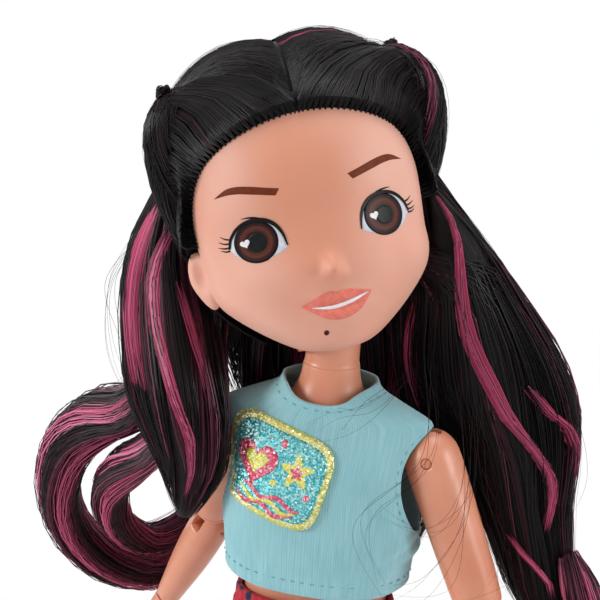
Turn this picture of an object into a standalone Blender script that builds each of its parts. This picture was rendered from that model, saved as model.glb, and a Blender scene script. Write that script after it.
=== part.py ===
# Fashion doll with a rooted-hair head, hinged arms and legs, a crop top, shorts and sneakers.
# Metres, +Z up, the face towards -Y, the doll's left hand at +X, the floor at z = 0.
import math

import bmesh
import bpy
from mathutils import Matrix, Vector

# General clearances and walls
GAP = 0.0003
RUNNING_GAP = 0.0003
PIN_GAP = 0.0001
SHELL_WALL = 0.0014
OVERRUN = 0.004

# Heights of the body, built up from the floor
SOLE_THICKNESS = 0.005
FOOT_HEIGHT = 0.017
SHIN_LENGTH = 0.061
THIGH_LENGTH = 0.063
TRUNK_LENGTH = 0.0605
NECK_RISE = 0.0215
ANKLE_Z = SOLE_THICKNESS + FOOT_HEIGHT
KNEE_Z = ANKLE_Z + SHIN_LENGTH
HIP_Z = KNEE_Z + THIGH_LENGTH
SHOULDER_Z = HIP_Z + TRUNK_LENGTH
NECK_Z = SHOULDER_Z + NECK_RISE
BODY_Y = -0.0125

# Torso and neck
CHEST_WIDTH = 0.032
CHEST_DEPTH = 0.0212
NECK_RADIUS = 0.0059
CROTCH_HALF = 0.0022
SHOULDER_X = 0.0225
HIP_X = 0.0112

# Neck joint
NECK_TOP_RADIUS = 0.0055
NECK_SLOT_HALF = 0.0027
NECK_EAR_RISE = 0.0018
NECK_SLOT_DEPTH = 0.0038
NECK_FRONT_WALL = 0.0006
TRUNNION_RADIUS = 0.0009
BALL_HALF = 0.0023
CUP_INNER_RADIUS = 0.0062
CUP_WALL = 0.0013
CUP_FLANGE_RADIUS = 0.0088
CUP_SEAT_RISE = 0.0013
CUP_HEIGHT = 0.0058
OPENING_RADIUS = 0.0078
SPIGOT_DEPTH = 0.0018

# Head
HEAD_WIDTH = 0.0456
HEAD_HEIGHT = 0.0595
HEAD_DEPTH = 0.047
HEAD_WALL = 0.002
EYE_LEVEL = 0.0253
NECK_DROP = 0.023
NECK_SET_BACK = 0.003
EAR_WIDTH = 0.0032
EAR_DEPTH = 0.0062
EAR_HEIGHT = 0.0108
NOSE_WIDTH = 0.0056
NOSE_HEIGHT = 0.005
NOSE_DEPTH = 0.006

# Hair
HAIR_TOP_RISE = 0.0402
HAIR_CAP_WIDTH = 0.0532
HAIR_CAP_DEPTH = 0.056
HAIR_BELOW_EYES = 0.0215
HAIR_EDGE_SPAN = 0.0245
ROLL_RADIUS = 0.0054
ROLL_REACH = 0.0262
ROLL_HEIGHT = 0.034
TIE_RADIUS = 0.0009
HAIR_HALF_WIDTH = 0.070
HAIR_LENGTH = 0.118
HAIR_BACK = 0.03
CURL_RADIUS = 0.0056

# Arms
UPPER_ARM_LENGTH = 0.0385
UPPER_ARM_RADIUS = 0.0060
PEG_NECK_RADIUS = 0.0026
PEG_FLANGE_RADIUS = 0.0040
PEG_FLANGE_THICKNESS = 0.0012
EAR_PLATE_HALF = 0.0011
EAR_PLATE_RADIUS = 0.0032
ARM_PIN_RADIUS = 0.0011
FOREARM_LENGTH = 0.0295
FOREARM_RADIUS = 0.0046
ELBOW_STEM_RADIUS = 0.0020
ELBOW_STEM_LENGTH = 0.008
ELBOW_DISC_THICKNESS = 0.001
ELBOW_PIN_RADIUS = 0.0009
ELBOW_PLATE_RADIUS = 0.0026
HAND_LENGTH = 0.017
WRIST_RADIUS = 0.0029
WRIST_STEM_RADIUS = 0.0013
WRIST_STEM_LENGTH = 0.006
FINGER_RADIUS = 0.0010

# Legs and shoes
THIGH_RADIUS = 0.0084
KNEE_RADIUS = 0.0060
CALF_RADIUS = 0.0060
ANKLE_RADIUS = 0.0038
KNEE_PLATE_HALF = 0.0016
KNEE_PLATE_RADIUS = 0.0042
KNEE_PIN_RADIUS = 0.0012
HIP_AXLE_RADIUS = 0.0016
FOOT_LENGTH = 0.030
FOOT_WIDTH = 0.0096
FOOT_BEHIND = 0.0075
SHOE_WALL = 0.0012
SHOE_HEIGHT = 0.013
SOLE_RIM = 0.0009

# Clothes
CLOTH = 0.0008
TOP_HEM_RISE = 0.0308
TOP_SIDE_EASE = 0.00325
TOP_FRONT_EASE = 0.0025
TOP_HEM_Z = HIP_Z + TOP_HEM_RISE
TOP_WIDTH = CHEST_WIDTH + 2 * TOP_SIDE_EASE
TOP_DEPTH = CHEST_DEPTH + 2 * TOP_FRONT_EASE
COLLAR_HALF_WIDTH = 0.0098
ARMHOLE_HALF_DEPTH = 0.0072
ARMHOLE_HALF_HEIGHT = 0.0112
STRIP_WIDTH = 0.0044
STRIP_THICKNESS = 0.0004
BADGE_WIDTH = 0.0205
BADGE_HEIGHT = 0.0175
BADGE_CORNER = 0.0035
BADGE_THICKNESS = 0.0005
BADGE_X = -0.0066
BADGE_BELOW_SHOULDER = 0.0035
BADGE_TILT = math.radians(13)
WAIST_RISE = 0.0278
WAISTBAND_HEIGHT = 0.005
SHORTS_EASE = 0.0006
SHORTS_LEG_LENGTH = 0.020
SHORTS_FLARE = 0.0016

# Pose of the doll at rest, degrees
NOD = math.radians(-8.7)
TILT = math.radians(-19.4)
TURN = math.radians(22.0)
LEFT_SWING = math.radians(-3)
LEFT_RAISE = math.radians(23.5)
LEFT_SWIVEL = math.radians(0)
LEFT_BEND = math.radians(8)
RIGHT_SWING = math.radians(38.0)
RIGHT_RAISE = math.radians(11.3)
RIGHT_SWIVEL = math.radians(-45.4)
RIGHT_BEND = math.radians(21.8)

# Height share above the hip, then half width, front and back as shares of the chest's size
TORSO_SHARES = (
    (-0.098, 0.34, 0.56, 0.56),
    (-0.065, 0.66, 0.83, 0.83),
    (0.000, 1.00, 0.98, 1.00),
    (0.073, 1.06, 1.02, 1.02),
    (0.171, 1.03, 0.96, 0.95),
    (0.268, 0.96, 0.88, 0.86),
    (0.341, 0.94, 0.87, 0.84),
    (0.439, 0.96, 0.94, 0.86),
    (0.537, 0.99, 1.06, 0.89),
    (0.622, 1.00, 1.10, 0.90),
    (0.695, 0.98, 0.98, 0.88),
    (0.756, 0.92, 0.82, 0.80),
    (0.805, 0.78, 0.70, 0.71),
    (0.841, 0.60, 0.64, 0.65),
)
NECK_SHARES = (
    (0.878, 1.20, 1.07),
    (0.912, 1.03, 1.00),
    (0.945, 1.00, 1.00),
)

# Height share from chin to crown, then half width, widest line, front and back of the head
HEAD_SHARES = (
    (0.000, 0.16, -0.21, 0.13, 0.13),
    (0.012, 0.33, -0.12, 0.26, 0.36),
    (0.047, 0.46, -0.10, 0.31, 0.43),
    (0.123, 0.70, -0.08, 0.36, 0.47),
    (0.207, 0.91, -0.04, 0.415, 0.48),
    (0.274, 0.985, -0.02, 0.44, 0.48),
    (0.358, 0.995, 0.00, 0.455, 0.49),
    (0.459, 1.00, 0.00, 0.455, 0.515),
    (0.560, 1.00, 0.02, 0.49, 0.51),
    (0.660, 0.97, 0.02, 0.49, 0.51),
    (0.761, 0.91, 0.02, 0.46, 0.485),
    (0.862, 0.78, 0.02, 0.40, 0.415),
    (0.938, 0.58, 0.02, 0.30, 0.31),
    (0.983, 0.33, 0.02, 0.17, 0.17),
    (1.000, 0.10, 0.02, 0.05, 0.05),
)
# The same for the mass of hair, between its lower edge at the nape and its top
HAIR_SHARES = (
    (0.000, 0.56, 0.00, 0.30, 0.34),
    (0.060, 0.72, 0.00, 0.36, 0.41),
    (0.160, 0.90, 0.00, 0.40, 0.48),
    (0.290, 0.98, 0.01, 0.43, 0.52),
    (0.420, 1.00, 0.01, 0.45, 0.53),
    (0.550, 1.00, 0.01, 0.45, 0.53),
    (0.680, 0.98, 0.01, 0.43, 0.52),
    (0.790, 0.92, 0.01, 0.375, 0.48),
    (0.885, 0.79, 0.01, 0.315, 0.41),
    (0.955, 0.58, 0.01, 0.24, 0.31),
    (0.990, 0.36, 0.01, 0.15, 0.20),
    (1.000, 0.12, 0.01, 0.05, 0.07),
)
# Outline of the bare face in the hair's edge: half width of the head, span above the eyes
HAIRLINE_SHARES = (
    (1.20, -1.60), (1.20, 0.50), (0.99, 0.56), (0.93, 0.72), (0.82, 0.83), (0.69, 0.90),
    (0.48, 0.955), (0.22, 0.99), (0.00, 1.00),
)
# Rolled side locks: outward, backward and upward shares, and the radius share
LEFT_ROLL_SHARES = (
    (0.763, -0.229, 0.897, 0.56),
    (0.927, -0.305, 0.809, 0.81),
    (1.004, -0.267, 0.676, 0.96),
    (1.023, -0.191, 0.529, 0.93),
    (0.992, -0.076, 0.368, 0.78),
    (0.954, 0.038, 0.221, 0.59),
    (0.916, 0.153, 0.088, 0.41),
)
RIGHT_ROLL_SHARES = (
    (0.706, -0.305, 0.897, 0.56),
    (0.832, -0.382, 0.838, 0.85),
    (0.889, -0.344, 0.735, 0.93),
    (0.897, -0.248, 0.574, 0.80),
    (0.878, -0.115, 0.397, 0.67),
    (0.859, 0.000, 0.235, 0.56),
    (0.840, 0.153, 0.088, 0.37),
)
# Hanging hair: sideways, backward and downward shares, then half width, half depth and turn
LEFT_FALL_SHARES = (
    (0.257, 0.40, 0.070, 0.071, 0.167, 0.3),
    (0.300, 0.43, 0.147, 0.114, 0.200, 0.3),
    (0.343, 0.45, 0.240, 0.157, 0.207, 0.2),
    (0.407, 0.45, 0.342, 0.236, 0.200, 0.1),
    (0.457, 0.44, 0.435, 0.257, 0.183, 0.0),
    (0.521, 0.44, 0.519, 0.200, 0.180, 0.0),
    (0.564, 0.43, 0.604, 0.150, 0.173, 0.0),
    (0.607, 0.43, 0.689, 0.126, 0.160, 0.0),
    (0.643, 0.43, 0.765, 0.103, 0.140, 0.0),
    (0.686, 0.42, 0.833, 0.057, 0.100, 0.0),
)
RIGHT_FALL_SHARES = (
    (-0.514, 0.43, 0.062, 0.057, 0.167, -0.20),
    (-0.571, 0.40, 0.138, 0.100, 0.200, -0.20),
    (-0.586, 0.30, 0.223, 0.136, 0.207, -0.20),
    (-0.543, 0.10, 0.308, 0.171, 0.183, -0.25),
    (-0.486, -0.10, 0.384, 0.186, 0.153, -0.30),
    (-0.436, -0.25, 0.452, 0.186, 0.127, -0.30),
    (-0.400, -0.30, 0.519, 0.157, 0.110, -0.30),
    (-0.379, -0.28, 0.579, 0.114, 0.100, -0.30),
    (-0.386, -0.23, 0.638, 0.064, 0.087, -0.30),
    (-0.400, -0.17, 0.681, 0.029, 0.053, -0.30),
)
BACK_FALL_SHARES = (
    (-0.114, 0.90, 0.147, 0.200, 0.120, 0.00),
    (-0.057, 0.90, 0.231, 0.271, 0.167, 0.00),
    (-0.029, 0.85, 0.333, 0.300, 0.187, 0.00),
    (0.000, 0.80, 0.452, 0.300, 0.187, 0.00),
    (0.007, 0.78, 0.570, 0.271, 0.180, 0.00),
    (0.014, 0.80, 0.689, 0.229, 0.167, 0.00),
    (0.014, 0.82, 0.791, 0.171, 0.133, 0.00),
    (0.014, 0.83, 0.875, 0.086, 0.087, 0.00),
)
# Big curl at the doll's right: sideways, backward and downward shares, and the radius share
RIGHT_CURL_SHARES = (
    (-0.543, -0.10, 0.452, 0.54),
    (-0.636, 0.17, 0.524, 0.93),
    (-0.800, 0.53, 0.583, 1.14),
    (-0.929, 0.73, 0.664, 1.11),
    (-0.979, 0.87, 0.774, 1.00),
    (-0.950, 1.00, 0.867, 0.95),
    (-0.850, 1.20, 0.939, 0.95),
    (-0.714, 1.40, 0.964, 0.86),
    (-0.607, 1.50, 0.918, 0.71),
    (-0.571, 1.50, 0.842, 0.43),
)
INNER_CURL_SHARES = (
    (-0.471, -0.20, 0.519, 0.43),
    (-0.564, 0.10, 0.592, 0.71),
    (-0.686, 0.50, 0.664, 0.86),
    (-0.779, 0.72, 0.740, 0.82),
    (-0.779, 0.90, 0.825, 0.75),
    (-0.700, 1.15, 0.875, 0.71),
    (-0.600, 1.28, 0.842, 0.61),
    (-0.550, 1.23, 0.774, 0.39),
)
LEFT_CURL_SHARES = (
    (0.714, 0.40, 0.689, 0.45),
    (0.771, 0.38, 0.757, 0.79),
    (0.843, 0.38, 0.842, 0.96),
    (0.929, 0.40, 0.918, 0.96),
    (1.007, 0.43, 0.977, 0.82),
    (1.043, 0.47, 1.011, 0.43),
)

SMOOTH_ANGLE = math.radians(40)


def clear_scene():
    for item in list(bpy.data.objects):
        bpy.data.objects.remove(item)


def make_collection(name):
    group = bpy.data.collections.new(name)
    bpy.context.scene.collection.children.link(group)
    return group


def make_material(name, colour, roughness, metallic=0.0):
    material = bpy.data.materials.new(name)
    material.use_nodes = True
    shader = material.node_tree.nodes["Principled BSDF"]
    shader.inputs["Base Color"].default_value = (*colour, 1.0)
    shader.inputs["Roughness"].default_value = roughness
    shader.inputs["Metallic"].default_value = metallic
    material.diffuse_color = (*colour, 1.0)
    return material


clear_scene()
DOLL = make_collection("fashion_doll")
CUTTERS = make_collection("cutters")

VINYL = make_material("soft_vinyl_head", (0.80, 0.42, 0.31), 0.55)
BODY = make_material("hard_plastic_body", (0.69, 0.25, 0.14), 0.32)
HAIR = make_material("nylon_hair_black", (0.012, 0.009, 0.010), 0.38)
PINK_HAIR = make_material("nylon_hair_pink", (0.50, 0.07, 0.16), 0.40)
ELASTIC = make_material("clear_elastic", (0.05, 0.04, 0.04), 0.45)
PIN = make_material("steel_pin", (0.55, 0.55, 0.56), 0.30, 1.0)
JERSEY = make_material("aqua_jersey", (0.37, 0.66, 0.73), 0.85)
FASTENER = make_material("hook_and_loop", (0.50, 0.74, 0.80), 0.95)
BADGE = make_material("glitter_print", (0.05, 0.38, 0.42), 0.30)
COTTON = make_material("red_cotton", (0.65, 0.02, 0.03), 0.80)
CANVAS = make_material("shoe_canvas", (0.02, 0.36, 0.40), 0.75)
RUBBER = make_material("shoe_rubber", (0.86, 0.85, 0.82), 0.55)


def add_empty(name, location, rotation=None, parent=None):
    empty = bpy.data.objects.new(name, None)
    DOLL.objects.link(empty)
    empty.parent = parent
    empty.matrix_local = Matrix.Translation(location) @ (rotation or Matrix())
    return empty


def add_object(name, mesh, material=None, parent=None):
    item = bpy.data.objects.new(name, mesh)
    if material is None:
        CUTTERS.objects.link(item)
        item.hide_render = True
        item.display_type = "WIRE"
    else:
        DOLL.objects.link(item)
        mesh.materials.append(material)
    item.parent = parent
    return item


def finish_mesh(name, bm):
    bmesh.ops.recalc_face_normals(bm, faces=bm.faces)
    if bm.calc_volume(signed=True) < 0:
        bmesh.ops.reverse_faces(bm, faces=bm.faces)
    mesh = bpy.data.meshes.new(name)
    bm.to_mesh(mesh)
    bm.free()
    mesh.shade_smooth()
    mesh.set_sharp_from_angle(angle=SMOOTH_ANGLE)
    return mesh


def box_mesh(name, low, high):
    bm = bmesh.new()
    bmesh.ops.create_cube(bm, size=1.0)
    size = [b - a for a, b in zip(low, high)]
    middle = [(a + b) / 2 for a, b in zip(low, high)]
    bmesh.ops.scale(bm, vec=size, verts=bm.verts)
    bmesh.ops.translate(bm, vec=middle, verts=bm.verts)
    return finish_mesh(name, bm)


def cylinder_mesh(name, radius, start, end, segments=20, end_radius=None):
    start = Vector(start)
    along = Vector(end) - start
    bm = bmesh.new()
    bmesh.ops.create_cone(
        bm,
        cap_ends=True,
        segments=segments,
        radius1=radius,
        radius2=radius if end_radius is None else end_radius,
        depth=along.length,
    )
    turn = along.to_track_quat("Z", "Y").to_matrix().to_4x4()
    bm.transform(Matrix.Translation(start + along / 2) @ turn)
    return finish_mesh(name, bm)


def ball_mesh(name, centre, radii, around=20, up=12):
    bm = bmesh.new()
    bmesh.ops.create_uvsphere(bm, u_segments=around, v_segments=up, radius=1.0)
    bmesh.ops.scale(bm, vec=radii, verts=bm.verts)
    bmesh.ops.translate(bm, vec=centre, verts=bm.verts)
    return finish_mesh(name, bm)


def loft_mesh(name, rings):
    bm = bmesh.new()
    rows = [[bm.verts.new(point) for point in ring] for ring in rings]
    count = len(rows[0])
    for low, high in zip(rows, rows[1:]):
        for i in range(count):
            j = (i + 1) % count
            bm.faces.new((low[i], low[j], high[j], high[i]))
    bm.faces.new(rows[0][::-1])
    bm.faces.new(rows[-1])
    return finish_mesh(name, bm)


def oval(centre, half_width, front, back, count=24, power=2.0):
    ring = []
    for i in range(count):
        angle = 2 * math.pi * (i + 0.5) / count
        across = math.copysign(abs(math.cos(angle)) ** (2 / power), math.cos(angle))
        along = math.copysign(abs(math.sin(angle)) ** (2 / power), math.sin(angle))
        depth = back if along > 0 else front
        ring.append(Vector(centre) + Vector((half_width * across, depth * along, 0)))
    return ring


def smooth_rows(rows, steps):
    # Catmull-Rom spline through rows of numbers, with the given steps between two rows
    found = []
    last = len(rows) - 1
    for i in range(last):
        a, b, c, d = rows[max(i - 1, 0)], rows[i], rows[i + 1], rows[min(i + 2, last)]
        for k in range(steps):
            t = k / steps
            found.append(tuple(
                0.5 * (2 * q + (r - p) * t + (2 * p - 5 * q + 4 * r - s) * t * t
                       + (3 * q - p - 3 * r + s) * t * t * t)
                for p, q, r, s in zip(a, b, c, d)
            ))
    found.append(rows[last])
    return found


def lock_mesh(name, rows, steps=2, count=10, flatness=1.0):
    # A tapering lock along a path: each row is x, y, z and radius
    rows = smooth_rows(rows, steps)
    points = [Vector(row[:3]) for row in rows]
    side = Vector((1, 0, 0))
    rings = []
    for i, row in enumerate(rows):
        ahead = points[min(i + 1, len(points) - 1)] - points[max(i - 1, 0)]
        ahead.normalize()
        side = (side - ahead * side.dot(ahead)).normalized()
        up = ahead.cross(side)
        ring = []
        for k in range(count):
            angle = 2 * math.pi * k / count
            ring.append(
                points[i]
                + side * (row[3] * math.cos(angle))
                + up * (row[3] * flatness * math.sin(angle))
            )
        rings.append(ring)
    return loft_mesh(name, rings)


def fall_mesh(name, rows, grow=0.0, steps=2, count=14):
    # Hanging hair in level slices: each row is x, y, z, half width, half depth and turn
    rings = []
    for x, y, z, half_width, half_depth, turn in reversed(smooth_rows(rows, steps)):
        ring = oval((0, 0, 0), half_width + grow, half_depth + grow, half_depth + grow, count)
        place = Matrix.Translation((x, y, z)) @ Matrix.Rotation(turn, 4, "Z")
        rings.append([place @ point for point in ring])
    return loft_mesh(name, rings)


def cut(target, *cutters, operation="DIFFERENCE"):
    for cutter in cutters:
        modifier = target.modifiers.new(cutter.name, "BOOLEAN")
        modifier.operation = operation
        modifier.object = cutter
        modifier.solver = "EXACT"
    return target


def join(target, *others):
    return cut(target, *others, operation="UNION")


def keep(target, *others):
    return cut(target, *others, operation="INTERSECT")


def cutter(name, mesh, parent=None):
    return add_object(name, mesh, None, parent)


# Body frame: everything fixed to the torso hangs on this empty
ROOT = add_empty("body_frame", (0, BODY_Y, 0))
NECK_SPAN = NECK_Z - HIP_Z


def torso_rings(grow=0.0, low=0, high=None, count=28):
    rings = []
    for share, width, front, back in TORSO_SHARES[low:high]:
        rings.append(oval(
            (0, 0, HIP_Z + share * NECK_SPAN),
            width * CHEST_WIDTH / 2 + grow,
            front * CHEST_DEPTH / 2 + grow,
            back * CHEST_DEPTH / 2 + grow,
            count,
            2.3,
        ))
    if grow > 0 and low == 0:
        for point in rings[0]:
            point.z -= grow
    return rings


def neck_rings(count=28):
    rings = []
    for share, width, depth in NECK_SHARES:
        rings.append(oval(
            (0, 0, HIP_Z + share * NECK_SPAN),
            width * NECK_RADIUS,
            depth * NECK_RADIUS,
            depth * NECK_RADIUS,
            count,
        ))
    top = NECK_TOP_RADIUS
    for drop in (0.7 * NECK_TOP_RADIUS, 0.0):
        rings.append(oval((0, 0, NECK_Z - drop), top, top, top, count))
    lift = NECK_EAR_RISE
    rings.append(oval((0, 0, NECK_Z + lift), *[math.sqrt(top**2 - lift**2)] * 3, count))
    return rings


def peg_flange_end():
    # Where the flange of a shoulder peg ends, close to the inside of the side wall
    return CHEST_WIDTH * 0.345


def add_torso():
    hip_reach = CHEST_WIDTH
    cavity = cutter("torso_cavity", loft_mesh("torso_cavity", torso_rings(-SHELL_WALL, 3, 12, 20)), ROOT)
    slot = cutter("neck_slot", box_mesh(
        "neck_slot",
        (-NECK_SLOT_HALF, NECK_FRONT_WALL - NECK_TOP_RADIUS, NECK_Z - NECK_SLOT_DEPTH),
        (NECK_SLOT_HALF, NECK_TOP_RADIUS - NECK_FRONT_WALL, NECK_Z + NECK_RADIUS),
    ), ROOT)
    swing_room = cutter("neck_swing_room", box_mesh(
        "neck_swing_room",
        (-NECK_SLOT_HALF, -NECK_RADIUS, NECK_Z),
        (NECK_SLOT_HALF, NECK_RADIUS, NECK_Z + NECK_RADIUS),
    ), ROOT)
    neck_hole = cutter("neck_hole", cylinder_mesh(
        "neck_hole",
        TRUNNION_RADIUS + PIN_GAP,
        (-NECK_RADIUS - OVERRUN, 0, NECK_Z),
        (NECK_RADIUS + OVERRUN, 0, NECK_Z),
        12,
    ), ROOT)
    shoulder_hole = cutter("shoulder_hole", cylinder_mesh(
        "shoulder_hole",
        PEG_NECK_RADIUS + RUNNING_GAP,
        (-hip_reach, 0, SHOULDER_Z),
        (hip_reach, 0, SHOULDER_Z),
    ), ROOT)
    flange_start = peg_flange_end() - PEG_FLANGE_THICKNESS - GAP
    flange_rooms = [
        cutter(f"flange_room_{word}", cylinder_mesh(
            f"flange_room_{word}", PEG_FLANGE_RADIUS + GAP,
            (side * flange_start, 0, SHOULDER_Z), (side * (peg_flange_end() + GAP), 0, SHOULDER_Z)), ROOT)
        for side, word in ((1, "left"), (-1, "right"))
    ]
    axle_hole = cutter("axle_hole", cylinder_mesh(
        "axle_hole",
        HIP_AXLE_RADIUS + PIN_GAP,
        (-hip_reach, 0, HIP_Z),
        (hip_reach, 0, HIP_Z),
        16,
    ), ROOT)
    leg_room = THIGH_RADIUS + 2 * RUNNING_GAP
    leg_cuts = []
    for side, word in ((1, "left"), (-1, "right")):
        inner = side * CROTCH_HALF
        outer = side * hip_reach
        leg_cuts.append(cutter(f"leg_round_{word}", cylinder_mesh(
            f"leg_round_{word}", leg_room, (inner, 0, HIP_Z), (outer, 0, HIP_Z), 32), ROOT))
        leg_cuts.append(cutter(f"leg_front_{word}", box_mesh(
            f"leg_front_{word}",
            (min(inner, outer), -CHEST_DEPTH, HIP_Z - 2 * leg_room),
            (max(inner, outer), 0, HIP_Z + leg_room)), ROOT))
        leg_cuts.append(cutter(f"leg_below_{word}", box_mesh(
            f"leg_below_{word}",
            (min(inner, outer), -CHEST_DEPTH, HIP_Z - 2 * leg_room),
            (max(inner, outer), CHEST_DEPTH, HIP_Z - leg_room / 10)), ROOT))
    for word, low, high in (
        ("front", -CHEST_DEPTH, -GAP / 2),
        ("back", GAP / 2, CHEST_DEPTH),
    ):
        half = cutter(f"torso_{word}_half", box_mesh(
            f"torso_{word}_half",
            (-hip_reach, low, HIP_Z - CHEST_WIDTH),
            (hip_reach, high, NECK_Z + CHEST_WIDTH)), ROOT)
        shell = add_object(f"torso_{word}", loft_mesh(f"torso_{word}", torso_rings() + neck_rings()), BODY, ROOT)
        cut(shell, cavity, slot, swing_room, neck_hole, shoulder_hole, axle_hole, *flange_rooms, *leg_cuts)
        keep(shell, half)


# Neck frames: the ball nods about X, the anchor tilts about Y on it, the head turns on the anchor
NECK_BASE = add_empty("neck_nod_frame", (0, 0, NECK_Z), Matrix.Rotation(NOD, 4, "X"), ROOT)
NECK_TILT = add_empty("neck_tilt_frame", (0, 0, 0), Matrix.Rotation(TILT, 4, "Y"), NECK_BASE)
NECK_TURN = add_empty("neck_turn_frame", (0, 0, 0), Matrix.Rotation(TURN, 4, "Z"), NECK_TILT)
HEAD_FRAME = add_empty("head_frame", (0, -NECK_SET_BACK, NECK_DROP), None, NECK_TURN)


def add_neck_joint():
    reach_x = NECK_TOP_RADIUS - PIN_GAP - RUNNING_GAP
    ear_outer = BALL_HALF + RUNNING_GAP + 2 * TRUNNION_RADIUS
    ball = add_object("neck_ball", ball_mesh("neck_ball", (0, 0, 0), [BALL_HALF] * 3, 16, 10), BODY, NECK_BASE)
    join(
        ball,
        cutter("ball_pin_x", cylinder_mesh(
            "ball_pin_x", TRUNNION_RADIUS, (-reach_x * 0.92, 0, 0), (reach_x * 0.92, 0, 0), 12), NECK_BASE),
        cutter("ball_pin_y", cylinder_mesh(
            "ball_pin_y", TRUNNION_RADIUS, (0, -ear_outer, 0), (0, ear_outer, 0), 12), NECK_BASE),
    )
    cup_outer = CUP_INNER_RADIUS + CUP_WALL
    ceiling = CUP_HEIGHT - CUP_WALL
    seat = CUP_SEAT_RISE
    spigot = OPENING_RADIUS - RUNNING_GAP
    outer_rows = [
        (seat - SPIGOT_DEPTH, spigot), (seat, spigot), (seat, CUP_FLANGE_RADIUS),
        (seat + CUP_WALL, CUP_FLANGE_RADIUS), (seat + CUP_WALL, cup_outer),
        (CUP_HEIGHT * 0.75, cup_outer * 0.92), (CUP_HEIGHT, cup_outer * 0.62),
    ]
    inner_rows = [
        (seat - SPIGOT_DEPTH - OVERRUN, spigot - CUP_WALL / 3), (seat - SPIGOT_DEPTH, spigot - CUP_WALL / 3),
        (seat + CUP_WALL, CUP_INNER_RADIUS), (ceiling * 0.8, CUP_INNER_RADIUS * 0.92),
        (ceiling, CUP_INNER_RADIUS * 0.7),
    ]
    anchor = add_object("head_anchor", loft_mesh("head_anchor", round_rings(outer_rows, 28)), BODY, NECK_TILT)
    cut(anchor, cutter("cup_hollow", loft_mesh("cup_hollow", round_rings(inner_rows, 28)), NECK_TILT))
    plate_half = NECK_SLOT_HALF / 3
    low_y = BALL_HALF + RUNNING_GAP
    for side, word in ((1, "back"), (-1, "front")):
        inner = side * low_y
        outer = side * ear_outer
        join(
            anchor,
            cutter(f"anchor_ear_{word}", box_mesh(
                f"anchor_ear_{word}",
                (-plate_half, min(inner, outer), 0), (plate_half, max(inner, outer), ceiling + CUP_WALL / 2),
            ), NECK_TILT),
            cutter(f"anchor_eye_{word}", cylinder_mesh(
                f"anchor_eye_{word}", plate_half * 1.88, (0, inner, 0), (0, outer, 0), 16), NECK_TILT),
        )
    cut(anchor, cutter("anchor_hole", cylinder_mesh(
        "anchor_hole", TRUNNION_RADIUS + PIN_GAP,
        (0, -ear_outer - OVERRUN, 0), (0, ear_outer + OVERRUN, 0), 12), NECK_TILT))


def head_rings(grow=0.0, low=0, high=None, count=32):
    rings = []
    for share, width, middle, front, back in HEAD_SHARES[low:high]:
        rings.append(oval(
            (0, middle * HEAD_DEPTH, share * HEAD_HEIGHT - EYE_LEVEL),
            max(width * HEAD_WIDTH / 2 + grow, GAP),
            max(front * HEAD_DEPTH + grow, GAP),
            max(back * HEAD_DEPTH + grow, GAP),
            count,
            2.15,
        ))
    if grow:
        for ring, lift in ((rings[0], -grow), (rings[-1], grow)):
            for point in ring:
                point.z += lift
    return rings


def add_head():
    head = add_object("head", loft_mesh("head", head_rings()), VINYL, HEAD_FRAME)
    for side, word in ((1, "left"), (-1, "right")):
        join(head, cutter(f"ear_{word}", ball_mesh(
            f"ear_{word}",
            (side * (HEAD_WIDTH / 2 - EAR_WIDTH / 4), NECK_SET_BACK, -EAR_HEIGHT / 2),
            (EAR_WIDTH / 2, EAR_DEPTH / 2, EAR_HEIGHT / 2), 12, 10), HEAD_FRAME))
    nose_y = (HEAD_SHARES[5][2] - HEAD_SHARES[5][3]) * HEAD_DEPTH
    join(head, cutter("nose", ball_mesh(
        "nose", (0, nose_y + NOSE_DEPTH / 6, -0.4 * EYE_LEVEL + NOSE_HEIGHT / 5),
        (NOSE_WIDTH / 2, NOSE_DEPTH / 2, NOSE_HEIGHT / 2), 14, 10), HEAD_FRAME))
    floor = -NECK_DROP + CUP_SEAT_RISE - GAP
    cut(
        head,
        cutter("head_cavity", loft_mesh("head_cavity", head_rings(-HEAD_WALL, 3, 14, 20)), HEAD_FRAME),
        cutter("cup_room", cylinder_mesh(
            "cup_room", CUP_FLANGE_RADIUS + RUNNING_GAP,
            (0, NECK_SET_BACK, floor), (0, NECK_SET_BACK, floor + 2 * CUP_HEIGHT), 28), HEAD_FRAME),
        cutter("neck_opening", cylinder_mesh(
            "neck_opening", OPENING_RADIUS * 1.46,
            (0, NECK_SET_BACK, floor - 2 * OVERRUN), (0, NECK_SET_BACK, floor + GAP), 28, OPENING_RADIUS),
            HEAD_FRAME),
    )


def hair_rings(grow=0.0, count=28):
    rings = []
    bottom = -HAIR_BELOW_EYES
    span = HAIR_TOP_RISE - bottom
    for share, width, middle, front, back in HAIR_SHARES:
        rings.append(oval(
            (0, middle * HAIR_CAP_DEPTH, bottom + share * span),
            width * HAIR_CAP_WIDTH / 2 + grow,
            front * HAIR_CAP_DEPTH + grow,
            back * HAIR_CAP_DEPTH + grow,
            count,
        ))
    if grow:
        for ring, lift in ((rings[0], -grow), (rings[-1], grow)):
            for point in ring:
                point.z += lift
    return rings


def face_window():
    outline = [(x * HEAD_WIDTH / 2, z * HAIR_EDGE_SPAN) for x, z in HAIRLINE_SHARES]
    outline += [(-x, z) for x, z in outline[-2::-1]]
    front = -HAIR_CAP_DEPTH
    back = -HEAD_DEPTH / 8
    rings = [[Vector((x, y, z)) for x, z in outline] for y in (front, back)]
    return cutter("face_window", loft_mesh("face_window", rings), HEAD_FRAME)


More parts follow.
